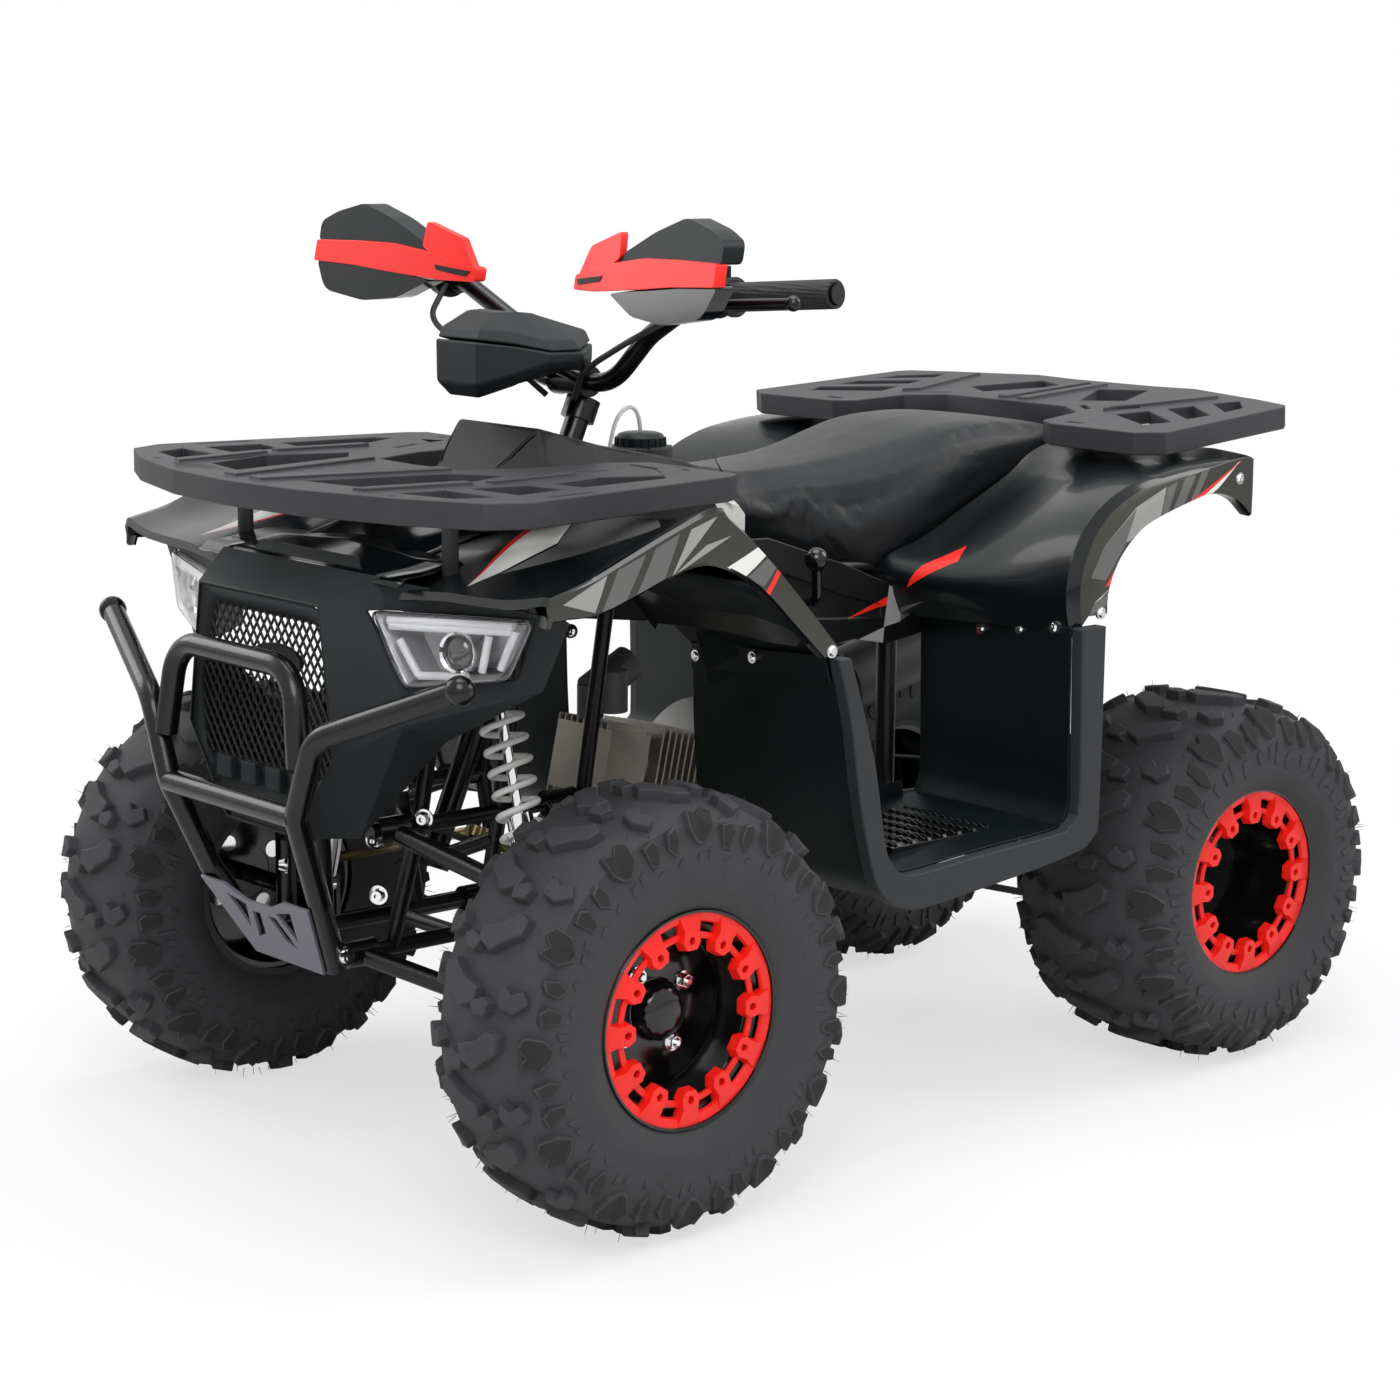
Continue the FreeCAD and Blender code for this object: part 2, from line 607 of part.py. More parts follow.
def frontArms():
    axle = float(frontAxleY)
    x = float(size.kingpinX)
    column = rod((x, axle, size.ballLowZ - size.tipGap), (x, axle, size.ballHighZ + size.tipGap),
                 size.knuckleRadius + 2)
    arms = []
    low = float(size.ballLowZ - size.tipGap - size.tipThick / 2)
    high = float(size.ballHighZ + size.tipGap + size.tipThick / 2)
    for pivotX, pivotZ, ahead, tipZ in ((size.lowPivotX, size.lowPivotZ, size.lowPivotAhead, low),
                                        (size.highPivotX, size.highPivotZ, size.highPivotAhead, high)):
        deep = size.tipThick / 2
        pieces = [rod((x, axle, tipZ - deep), (x, axle, tipZ + deep), size.knuckleRadius)]
        holes = [column]
        for y in (axle - ahead, axle + size.pivotBehind):
            first = (pivotX, y - size.pivotHalf, pivotZ)
            last = (pivotX, y + size.pivotHalf, pivotZ)
            pieces += [rod(first, last, size.pivotRadius),
                       rod((pivotX, y, pivotZ), (x, axle, tipZ), size.armRadius)]
            holes.append(rod((pivotX, y - 60, pivotZ), (pivotX, y + 60, pivotZ),
                             size.thinRadius + size.seatGap))
        if tipZ == low:
            shockY = axle - size.shockAhead
            foot = float(size.shockLowX)
            pieces.append(rod((foot, -524, 209), (foot, -426, 209), 9))
            for edge in (-18, 12.3):
                pieces.append(block((foot - 12, foot + 12), (shockY + edge, shockY + edge + 5.7),
                                    (206, size.shockLowZ + 12)))
        arms.append(joined(pieces).cut(holes[0]).cut(holes[1]).cut(holes[2]))
    feature(Part.makeCompound(arms + [flip(arm) for arm in arms]), "front_arms")


def frontShocks():
    y = float(frontAxleY - size.shockAhead)
    top = (float(size.shockTopX), y, float(size.shockTopZ))
    low = (float(size.shockLowX), y, float(size.shockLowZ))
    first = Vector(*top)
    along = (Vector(*low) - first).normalize()
    shock = damper(top, low)
    spring = coil(first + along * float(size.coilTop + size.coilWire), along,
                  float(size.coilLength - 8 - size.coilWire * 2), float(size.coilRadius),
                  float(size.coilWire) - 0.3,
                  float(size.coilPitch))
    feature(Part.makeCompound([shock, flip(shock)]), "front_shocks")
    feature(Part.makeCompound([spring, flip(spring)]), "front_springs")


def knuckles():
    axle = float(frontAxleY)
    x = float(size.kingpinX)
    centre = float(size.frontTyreRadius)
    ringFace = size.frontWheelX + size.frontTyreWidth / 2 - size.frontRingInset
    hub = float(ringFace - size.frontDish - size.dishThick)
    back = axle + size.pitmanReach
    arm = x + size.pitmanHalf
    under = size.rodEndZ - size.rodEyeHalf - size.tipGap * 2 - 7
    pieces = [rod((x, axle, size.ballLowZ), (x, axle, size.ballHighZ), size.knuckleRadius),
              rod((x, axle, centre), (hub - size.seatGap, axle, centre), size.spindleRadius),
              rod((x, axle, under), (arm, back, under), 7),
              rod((arm, back, under), (arm, back, size.rodEndZ + size.rodEyeHalf + 6), size.studRadius)]
    made = joined(pieces)
    feature(made, "knuckle_left")
    feature(flip(made), "knuckle_right")


# Steering

stemFoot = Vector(0, size.stemFootY, size.stemFootZ)
stemAxis = (Vector(0, size.stemTopY, size.stemTopZ) - stemFoot).normalize()
stemBack = Vector(0, stemAxis.z, -stemAxis.y)
stemLength = (Vector(0, size.stemTopY, size.stemTopZ) - stemFoot).Length


def onStem(along, back=0.0, x=0.0):
    return stemFoot + stemAxis * float(along) + stemBack * float(back) + Vector(float(x), 0, 0)


def steering():
    start = onStem(-size.stemFootDepth)
    stem = Part.makeCylinder(float(size.stemRadius), stemLength + float(size.stemFootDepth), start,
                             stemAxis)
    thick = float(size.pitmanThick)
    low = float(size.pitmanAlong) - thick / 2
    corners = [onStem(low, -20, -16), onStem(low, -20, 16), onStem(low, size.pitmanReach + 10, 17),
               onStem(low, size.pitmanReach + 10, -17)]
    plate = Part.Face(Part.makePolygon(corners + corners[:1])).extrude(stemAxis * thick)
    studs = [Part.makeCylinder(float(size.studRadius), 22, onStem(low + thick, size.pitmanReach, x),
                               stemAxis)
             for x in (size.pitmanHalf, -size.pitmanHalf)]
    clamp = Part.makeCylinder(20, 26, onStem(stemLength - 26), stemAxis)
    feature(joined([stem, plate, clamp] + studs), "steering_stem")
    bar = tube(barRoute(), size.barRadius, 60)
    saddle = rod((-30, size.barSaddleY, size.barSaddleZ), (30, size.barSaddleY, size.barSaddleZ),
                 size.barRadius + size.saddleWall)
    saddle = saddle.cut(Part.makeCylinder(25, 60, onStem(stemLength - 60), stemAxis))
    feature(bar.fuse(saddle).removeSplitter(), "handlebar")
    grips = []
    for side in (1, -1):
        inner = Vector(side * size.gripInX, size.gripInY, size.gripInZ)
        outer = Vector(side * size.gripOutX, size.gripOutY, size.gripOutZ)
        run = (outer - inner).normalize()
        grip = rod(inner, outer, size.gripRadius).fuse(Part.makeCylinder(float(size.gripCollar), 6, inner,
                                                                         run))
        grips.append(grip.removeSplitter().cut(tube(barRoute(), size.barRadius + size.seatGap, 60)))
    feature(Part.makeCompound(grips), "grips")


def barRoute():
    right = [(0, size.barSaddleY, size.barSaddleZ), (70, size.barSaddleY, size.barSaddleZ),
             (size.barRiseX, size.barRiseY, size.barRiseZ),
             (size.gripInX - 50, size.gripInY - 6, size.gripInZ - 4),
             (size.gripOutX + 4, size.gripOutY, size.gripOutZ)]
    return [(-x, y, z) for x, y, z in reversed(right[1:])] + right[1:]


def tieRods():
    along = float(size.pitmanAlong + size.pitmanThick / 2 + size.rodEyeHalf) + 4
    eye = onStem(along, size.pitmanReach, size.pitmanHalf)
    far = Vector(size.kingpinX + size.pitmanHalf, frontAxleY + size.pitmanReach, size.rodEndZ)
    half = float(size.rodEyeHalf)
    inner = Part.makeCylinder(float(size.rodEye), half * 2, eye - stemAxis * half, stemAxis)
    outer = Part.makeCylinder(float(size.rodEye) + 1, half * 2, far - Vector(0, 0, half))
    bar = Part.makeCylinder(float(size.rodRadius), (far - eye).Length, eye, far - eye)
    made = joined([inner, outer, bar])
    made = made.cut(Part.makeCylinder(float(size.studRadius + size.studFit), 60, eye - stemAxis * 30,
                                      stemAxis))
    made = made.cut(Part.makeCylinder(float(size.studRadius + size.openFit), 60, far - Vector(0, 0, 30)))
    feature(made, "tie_rod_left")
    feature(flip(made), "tie_rod_right")


def controls():
    # Levers on their perches, and a faceted guard on a stay in front of each grip.
    levers = []
    for side in (1, -1):
        inner = Vector(side * (size.gripInX - size.perchInset), size.gripInY, size.gripInZ)
        outer = Vector(side * size.gripOutX, size.gripOutY, size.gripOutZ)
        run = (outer - inner).normalize()
        perch = Part.makeCylinder(float(size.gripRadius) + 2, 20, inner - run * 12, run)
        perch = perch.cut(tube(barRoute(), size.barRadius + size.seatGap, 60))
        ahead = inner + Vector(side * 8, -float(size.leverAhead), -8)
        end = ahead + run * float(size.leverReach) + Vector(0, 8, 0)
        blade = tube([tuple(inner + Vector(0, -float(size.gripRadius) - 2, 0)), tuple(ahead), tuple(end)],
                     size.leverRadius, 14)
        levers.append(joined([perch, blade, Part.makeSphere(float(size.leverRadius) + 2.5, end)]))
    feature(Part.makeCompound(levers), "control_levers")
    rimY, ridgeY, thick = float(size.guardY), float(size.guardY - size.guardDeep), float(size.guardThick)
    face = [(92, 985), (150, 1014), (292, 1062), (372, 1012), (368, 985), (244, 946), (120, 955)]
    middleX = sum(x for x, z in face) / len(face)
    middleZ = sum(z for x, z in face) / len(face)

    def shrunk(by):
        return [(x + (middleX - x) * by, z + (middleZ - z) * by) for x, z in face]

    for side, label in ((1, "hand_guard_left"), (-1, "hand_guard_right")):
        outer = facets([[(side * x, rimY, z) for x, z in face],
                        [(side * x, ridgeY, z) for x, z in shrunk(0.34)]])
        inner = facets([[(side * x, rimY + 1, z) for x, z in shrunk(0.07)],
                        [(side * x, ridgeY + thick, z) for x, z in shrunk(0.4)]])
        stayX = float(size.guardStayX)
        stay = rod((side * stayX, ridgeY + thick / 2, 985), (side * stayX, size.barRiseY - 5, 945), 7)
        stay = stay.cut(tube(barRoute(), size.barRadius + size.seatGap, 60))
        feature(outer.cut(inner).fuse(stay).removeSplitter(), label)


def meterPod():
    half = float(size.podHalf)
    foot = size.barSaddleZ
    top = foot + size.podHigh
    rearY, frontY = size.podRearY, size.podFrontY
    brow = top - size.podCut
    seam = (foot * 2 + brow) / 3
    back = [(-half * 0.8, rearY, top), (half * 0.8, rearY, top), (half, rearY, seam),
            (half * 0.72, rearY - 16, foot),
            (-half * 0.72, rearY - 16, foot), (-half, rearY, seam)]
    front = [(-half * 0.45, frontY, brow), (half * 0.45, frontY, brow), (half * 0.7, frontY + 4, seam),
             (half * 0.45, frontY - 2, foot), (-half * 0.45, frontY - 2, foot),
             (-half * 0.7, frontY + 4, seam)]
    pod = facets([back, front])
    neck = rod((0, rearY - 15, (top + foot) / 2),
               (0, size.barSaddleY - size.barRadius - 2, size.barSaddleZ), 10)
    saddle = rod((-40, size.barSaddleY, size.barSaddleZ), (40, size.barSaddleY, size.barSaddleZ),
                 size.barRadius + size.saddleWall + size.seatGap)
    clamp = Part.makeCylinder(float(size.clampRadius + size.seatGap), 60, onStem(stemLength - 50), stemAxis)
    feature(pod.fuse(neck).removeSplitter().cut(saddle).cut(clamp), "meter_pod")


def cables():
    made = []
    for side in (1, -1):
        route = [(side * 232.4, -271.85, 966.95), (side * 190, -330, 930), (side * 120, -325, 900),
                 (side * 60, -300, 880),
                 (side * 26, -282, 850)]
        made.append(tube(route, size.cableRadius, 60))
    feature(Part.makeCompound(made), "control_cables")


# Frame and bumper

def frame():
    low, lowZ = size.lowPivotX, size.lowPivotZ
    high, highZ = size.highPivotX, size.highPivotZ
    rail, base, top = size.railHalf, size.lowRailZ, size.topRailZ
    thin, thick = size.thinRadius, size.railRadius
    bushTop = onStem(size.upperBushAlong)
    left = [
        tube([(low, -320, lowZ), (rail, -240, base), (rail, 150, base), (rail - 5, 232, 300),
              (rail, 240, 480),
              (rail + 4, 300, 652)], thick),
        rod((low, -638.1, lowZ), (low, -316, lowZ), thin),
        rod((high, -622, highZ), (high, -316, highZ), thin),
        tube([(low, -572, lowZ), (high, -556, highZ), (100, size.uprightTopY, top)], thin, 30),
        tube([(low, -445, lowZ), (high, -445, highZ), (97, -412, top)], thin, 30),
        tube([(low, -325, lowZ), (high, -325, highZ), (99, -290, top)], thin, 30),
        tube([(100, -540, top), (100, bushTop.y, top + 5), (rail, 150, top - 12), (110, 330, 660),
              (size.railTailX, size.railTailY, size.railTailZ)], thick),
        rod((rail, 150, base), (rail, 150, top - 12), thick),
        rod((97, -533, size.shockTopZ), (96, -424, size.shockTopZ), thin),
        tube([(rail, size.pegBarFrontY, base), (rail + 28, size.pegBarFrontY, size.pegBarZ),
              (size.pegBarHalf, size.pegBarFrontY, size.pegBarZ)], thin, 20),
        tube([(rail, size.pegBarRearY, base), (rail + 28, size.pegBarRearY, size.pegBarZ),
              (size.pegBarHalf, size.pegBarRearY, size.pegBarZ)], thin, 20),
        rod((88, -447, 368), (16, -466, 337), thin),
        rod((60, -525, top), (60, -525, 712), thin),
    ]
    for x in (190, 330):
        for y in (size.pegBarFrontY, size.pegBarRearY):
            left.append(block((x - 10, x + 10), (y - 8, y + 8), (size.pegBarZ, 333.7)))
    shockY = frontAxleY - size.shockAhead
    for edge in (-18, 12.3):
        left.append(block((94, size.shockTopX + 12), (shockY + edge, shockY + edge + 6),
                          (size.shockTopZ - 12, size.shockTopZ + 12)))
    cross = [
        rod((-low, -480, lowZ), (low, -480, lowZ), thin),
        rod((-rail, -240, base), (rail, -240, base), thin),
        rod((-rail, 150, top - 12), (rail, 150, top - 12), thin),
        rod((-size.railTailX, size.railTailY, size.railTailZ),
            (size.railTailX, size.railTailY, size.railTailZ), thin),
        rod((-rail - 4, 300, 640), (rail + 4, 300, 640), thin),
        block((-40, 40), (285, 325), (640, 675.7)),
        rod((-100, -525, top), (100, -525, top), thin),
        rod((-rail + 6, size.swingPivotY, size.swingPivotZ), (rail - 6, size.swingPivotY, size.swingPivotZ),
            thin),
        rod((-100, bushTop.y, top + 5), (100, bushTop.y, top + 5), thin),
    ]
    bushes = [Part.makeCylinder(float(size.bushRadius), 30, onStem(-size.bushFoot), stemAxis),
              Part.makeCylinder(float(size.bushRadius), 36, onStem(size.upperBushAlong - size.bushHalf),
                                stemAxis)]
    made = joined(left + [flip(piece) for piece in left] + cross + bushes)
    made = made.cut(Part.makeCylinder(float(size.stemRadius) + 0.3, stemLength + 60, onStem(-40), stemAxis))
    feature(made, "frame")
    return made


def bumper():
    radius = size.bumperRadius
    pieces = []
    for side in (1, -1):
        pieces.append(tube([(side * size.hornX, size.hornY, size.hornZ),
                            (side * size.bendX, size.bendY, size.bendZ),
                            (side * size.crossX, size.crossY, size.crossZ),
                            (side * size.plateTopX, size.plateTopY, size.plateTopZ),
                            (side * size.plateLowX, size.plateLowY, size.plateLowZ)], radius))
        pieces.append(Part.makeSphere(float(size.hornCapRadius),
                                      Vector(side * size.hornX, size.hornY, size.hornZ)))
    pieces.append(rod((-size.crossX, size.crossY, size.crossZ), (size.crossX, size.crossY, size.crossZ),
                      radius))
    pieces.append(tube([(-size.hoopFootX, size.bendY, size.hoopFootZ),
                        (-size.hoopX, size.hoopY, size.hoopTopZ),
                        (size.hoopX, size.hoopY, size.hoopTopZ),
                        (size.hoopFootX, size.bendY, size.hoopFootZ)], radius))
    feature(joined(pieces), "front_bumper")
    top = Vector(size.plateTopX, size.plateTopY, size.plateTopZ)
    low = Vector(size.plateLowX, size.plateLowY, size.plateLowZ)
    down = (Vector(0, low.y, low.z) - Vector(0, top.y, top.z)).normalize()
    normal = Vector(0, down.z, -down.y)
    shift = normal * float(radius + size.seatGap)
    middle = Vector(0, top.y, top.z) + shift

    def onPlate(across, along):
        return middle + Vector(across, 0, 0) + down * along

    deep = (Vector(0, low.y, low.z) - Vector(0, top.y, top.z)).Length
    edge = [onPlate(-top.x, 0), onPlate(-top.x * 0.55, 0), onPlate(-top.x * 0.2, 16),
            onPlate(top.x * 0.2, 16),
            onPlate(top.x * 0.55, 0), onPlate(top.x, 0), onPlate(low.x, deep), onPlate(-low.x, deep)]
    plate = Part.Face(Part.makePolygon(edge + edge[:1])).extrude(normal * float(size.plateThick))
    for side in (1, -1):
        for window in ([(62, 14), (30, 22), (46, 58)], [(22, 30), (8, 30), (20, 62), (38, 70)]):
            corners = [onPlate(side * across, along) for across, along in window]
            cut = Part.Face(Part.makePolygon(corners + corners[:1])).extrude(normal * 20)
            plate = plate.cut(cut.translated(normal * -10))
    feature(plate, "bumper_plate")


# Front shells

def maskShapes(inset):
    # The mask's outline at its front rim, over its brow and at the wings' ends.
    noseY = size.noseTopY
    front = [(-size.noseTopX + inset, noseY, size.noseTopZ - inset),
             (size.noseTopX - inset, noseY, size.noseTopZ - inset),
             (size.noseLowX - inset, noseY, size.noseLowZ),
             (size.tongueX - inset, noseY, size.tongueZ + inset),
             (-size.tongueX + inset, noseY, size.tongueZ + inset),
             (-size.noseLowX + inset, noseY, size.noseLowZ)]
    browY = size.browY
    middle = [(-150 + inset, browY, 690 - inset), (150 - inset, browY, 690 - inset),
              (190 - inset, browY, 535),
              (112 - inset, browY, size.tongueZ + inset), (-112 + inset, browY, size.tongueZ + inset),
              (-190 + inset, browY, 535)]
    wingY, wing = size.wingY, size.wingX
    rear = [(-wing + inset, wingY, 664 - inset), (wing - inset, wingY, 664 - inset),
            (wing - 45 - inset, wingY, 586 + inset),
            (170 - inset, wingY, 505 + inset), (-170 + inset, wingY, 505 + inset),
            (45 - wing + inset, wingY, 586 + inset)]
    return front, middle, rear


def lampCorners(grow, deep):
    face = [(146 - grow, -656, 654 + grow), (340 + grow, -592, 661 + grow), (311 + grow, -602, 596 - grow),
            (189 - grow, -643, 575 - grow)]
    return face, [(x - 10, y + deep, z) for x, y, z in face]


def grille():
    # A frame round crossed bars, set back inside the mask's rim.
    front, middle, _ = maskShapes(float(size.skin + size.seatGap + size.grilleMargin))
    share = size.grilleInset / (middle[0][1] - size.noseTopY)
    edge = [(x + (p - x) * share, y + (q - y) * share, z + (r - z) * share)
            for (x, y, z), (p, q, r) in zip(front, middle)]
    thick = (0, -float(size.meshThick), 0)
    solid = prism(edge, thick)
    face = Part.Face(ring(edge))
    opening = face.makeOffset2D(-float(size.grilleFrame)).extrude(Vector(0, -float(size.meshThick), 0))
    y = edge[0][1]
    centre = Vector(0, y, (size.noseTopZ + size.tongueZ) / 2)
    reach = 260
    count = int(reach / size.meshPitch)
    lattice = []
    for lean in (-1, 1):
        bars = []
        for i in range(-count, count + 1):
            bar = block((-size.meshBar / 2, size.meshBar / 2), (y - size.meshThick, y), (-reach, reach))
            bar.translate(Vector(i * float(size.meshPitch), 0, 0))
            bar.rotate(Vector(0, 0, 0), Vector(0, 1, 0), lean * float(size.meshLean))
            bar.translate(Vector(0, 0, centre.z))
            bars.append(bar)
        lattice.append(Part.makeCompound(bars).common(opening))
    plateLow = size.tongueZ + 62
    plate = block((-200, 200), (y - size.meshThick, y), (0, plateLow)).common(solid)
    feature(solid.cut(opening).fuse([lattice[0], lattice[1], plate]).removeSplitter(), "front_grille")


def nose():
    skin = float(size.skin)
    front, middle, rear = maskShapes(0)
    outer = facets([front, middle]).fuse(facets([middle, rear]))
    front, middle, rear = maskShapes(skin)
    front = [(x, y - 1, z) for x, y, z in front]
    rear = [(x, y + 1, z) for x, y, z in rear]
    shell = outer.cut(facets([front, middle])).cut(facets([middle, rear]))
    for side in (1, -1):
        face, back = lampCorners(0.5, 46)
        hole = facets([[(x + 13, y - 60, z) for x, y, z in face], [(x - 4, y + 20, z) for x, y, z in back]])
        shell = shell.cut(hole if side == 1 else flip(hole))
    feature(shell, "front_mask")
    grille()
    lamp = facets(lampCorners(-1, 46))
    feature(Part.makeCompound([lamp, flip(lamp)]), "headlamps")
    return shell


def panelLoft(lines, thick, back=0.0):
    # A skin through several lines, each at its own x.
    sections = []
    drop = math.sqrt(thick ** 2 - back ** 2)
    for x, line in lines:
        sections.append([(x, y, z) for y, z in line] + [(x, y + back, z - drop) for y, z in line[::-1]])
    return loft(sections)


def frontFender():
    # The side band between the edge over the wheel and the ridge along its top, and the skin that
    # runs from the hood's side down to the ridge with a shallow dip on the way.
    ridge = [(-618, 682), (-565, 705), (-510, 728), (-453, 750), (-394, 769), (-375, 755), (-328, 713),
             (-269, 654),
             (-217, 605)]
    arch = [(-239, 593), (-288, 638), (-322, 669), (-355, 691), (-407, 709), (-462, 698), (-510, 682),
            (-556, 668),
            (-613, 670)]
    dip = [(-614, 680), (-560, 697), (-506, 715), (-450, 732), (-394, 747), (-370, 737), (-324, 697),
           (-268, 645),
           (-222, 598)]
    side = [(-606, 683), (-556, 699), (-503, 712), (-450, 723), (-394, 730), (-362, 721), (-320, 690),
            (-270, 642),
            (-230, 597)]
    skin = float(size.skin)
    inside, middle, outside = float(size.hoodHalf + size.seatGap), 300.0, float(size.fenderX)
    shell = panelLoft([(inside, side), (middle, dip)],
                      skin).fuse(panelLoft([(middle, dip), (outside, ridge)], skin))
    lip = prism([(outside - size.lipWide, y, z) for y, z in ridge] +
                [(outside - size.lipWide, y, z + size.lipHigh) for y, z in ridge[::-1]],
                (float(size.lipWide), 0, 0))
    band = prism([(outside - skin, y, z) for y, z in ridge + arch], (skin, 0, 0))
    front, middle, rear = maskShapes(-float(size.seatGap))
    made = shell.fuse([band, lip]).cut(facets([front, middle])).cut(facets([middle, rear]))
    made = max(made.Solids, key=lambda solid: solid.Volume).removeSplitter()
    feature(made, "front_fender_left")
    feature(flip(made), "front_fender_right")
    return made


def archSection(half, top, foot, y, side=0.72):
    return [(-half, y, foot), (-half, y, foot + (top - foot) * side), (-half * 0.8, y, top),
            (half * 0.8, y, top),
            (half, y, foot + (top - foot) * side), (half, y, foot)]


def hood(cushion):
    skin = float(size.skin)
    half = float(size.hoodHalf)
    stations = [(half - 4, 698, 676, -600), (half, 742, 700, -440), (half, 742, 700, -240)]
    hollow = [(half - 4, 698, 676, -601), (half, 742, 700, -440), (half, 742, 700, -239)]
    outer = loft([archSection(*station) for station in stations])
    inner = loft([archSection(wide - skin, top - skin, foot - 1, y) for wide, top, foot, y in hollow])
    well = block((-size.cowlHalf - 34, size.cowlHalf + 34), (-436, -200), (600, 800))
    feature(outer.cut(inner).cut(well), "hood")
    foot = float(size.cowlFootZ)
    stations = [(60, 765, 745, -430), (92, 824, foot, -372), (92, 800, foot, -284), (100, 775, foot, -161),
                (100, 742, foot, -82)]
    hollow = [(60, 765, 745, -425)] + stations[1:-1] + [(100, 742, foot, -86)]
    outer = loft([archSection(*station) for station in stations])
    inner = loft([archSection(wide - skin, top - skin, foot - 1, y) for wide, top, foot, y in hollow])
    stemHole = Part.makeCylinder(float(size.stemRadius + size.stemRoom), stemLength + 60, onStem(-40),
                                 stemAxis)
    neck = rod((0, size.capY, 750), (0, size.capY, size.neckTopZ), size.capRadius + 4)
    cowl = outer.fuse(neck).removeSplitter().cut(inner).cut(stemHole)
    for shift in (Vector(0, -size.seatGap, 0), Vector(0, 0, size.seatGap), Vector(size.seatGap, 0, 0),
                  Vector(-size.seatGap, 0, 0)):
        cowl = cowl.cut(cushion.translated(shift))
    feature(max(cowl.Solids, key=lambda solid: solid.Volume), "steering_cowl")
    foot = Vector(0, size.capY, size.neckTopZ + size.seatGap)
    cap = Part.makeCylinder(float(size.capRadius), float(size.capHeight), foot)
    grips = [Part.makeCylinder(5, float(size.capHeight), foot + Vector(size.capRadius * math.cos(turn),
                               size.capRadius * math.sin(turn),
                               0)) for turn in (math.tau * i / 8 for i in range(8))]
    feature(joined([cap] + grips), "fuel_cap")


def seat():
    # Each station is half the width, the top, the lower edge and its place along Y.
    stations = [(92, 752, 684, -95), (100, 749, 660, -30), (118, 753, 628, 58), (132, 762, 617, 126),
                (138, 776, 643, 191), (139, 789, 675, 255), (137, 793, 713, 330), (132, 789, 745, 398),
                (124, 777, 748, 466), (106, 757, 746, 515)]
    shape = loft([archSection(*station) for station in stations])
    channel = block((-size.seatHalf + 16, size.seatHalf - 16), (-110, 240), (500, size.seatPanZ))
    pan = block((-60, 60), (262, 345), (size.seatPanZ, 720))
    feature(shape.cut(channel).fuse(pan).removeSplitter(), "seat")
    return shape


def sidePanels():
    # A flat panel under the seat with a scoop pressed along it and a turned-in lower edge.
    line = [(-205, 690), (-90, 686), (30, 646), (110, 614), (185, 612), (215, 600), (222, 556), (106, 541),
            (51, 552),
            (-30, 545), (-150, 560), (-215, 612)]
    scoop = [(-150, 640), (-60, 640), (40, 604), (96, 590), (96, 574), (20, 580), (-110, 592)]
    x = float(size.panelX)
    skin = float(size.skin)
    plate = prism([(x, y, z) for y, z in line], (skin, 0, 0))
    dent = prism([(x + skin / 2, y, z) for y, z in scoop], (skin, 0, 0))
    feature(plate.cut(dent), "side_panel_left")
    feature(flip(plate.cut(dent)), "side_panel_right")


def footwells():
    skin = size.skin
    body = newBody("footwell")
    floor = size.footFloorZ
    line = [(-170, 590), (-128, floor + 18), (-112, floor), (186, floor), (200, floor + 18), (172, 574)]
    inner = [(172 - skin, 574), (200 - skin, floor + 18), (185, floor + skin), (-111, floor + skin),
             (-128 + skin, floor + 18), (-170 + skin, 590)]
    deep = size.footOutX - size.footInX
    pad(body, outline(body, "YZ_Plane", line + inner, size.footInX), deep)
    band = [(-176, 592), (-126, 300), (-100, 288), (192, 308), (214, 330), (224, 592), (172 - skin, 576),
            (190, 356),
            (168, 347), (-92, 340), (-104, 352), (-170 + size.rimBand, 592)]
    pad(body, outline(body, "YZ_Plane", band, size.footOutX), size.footRimX - size.footOutX)
    keep(body, "footwell_left")
    mirrored(body, "footwell_right")
    pegs = []
    top = size.pegTopZ
    for side in (1, -1):
        low, high = sorted((side * 190, side * 340))
        plate = block((low, high), (size.pegBarFrontY - 12, size.pegBarRearY + 12),
                      (floor + skin + size.seatGap, top - 4))
        bars = []
        for y in range(int(size.pegBarFrontY), int(size.pegBarRearY) + 1, int(size.pegTeethPitch)):
            comb = [(low, y - 3, top - 4), (high, y - 3, top - 4)]
            teeth = int(size.pegTeeth)
            wide = (high - low) / teeth
            for i in reversed(range(teeth)):
                comb += [(low + wide * (i + 0.8), y - 3, top), (low + wide * (i + 0.5), y - 3, top - 3)]
            bars.append(prism(comb, (0, 6, 0)))
        pegs.append(joined([plate] + bars))
    feature(Part.makeCompound(pegs), "foot_pegs")
    document.recompute()
    return body.Shape


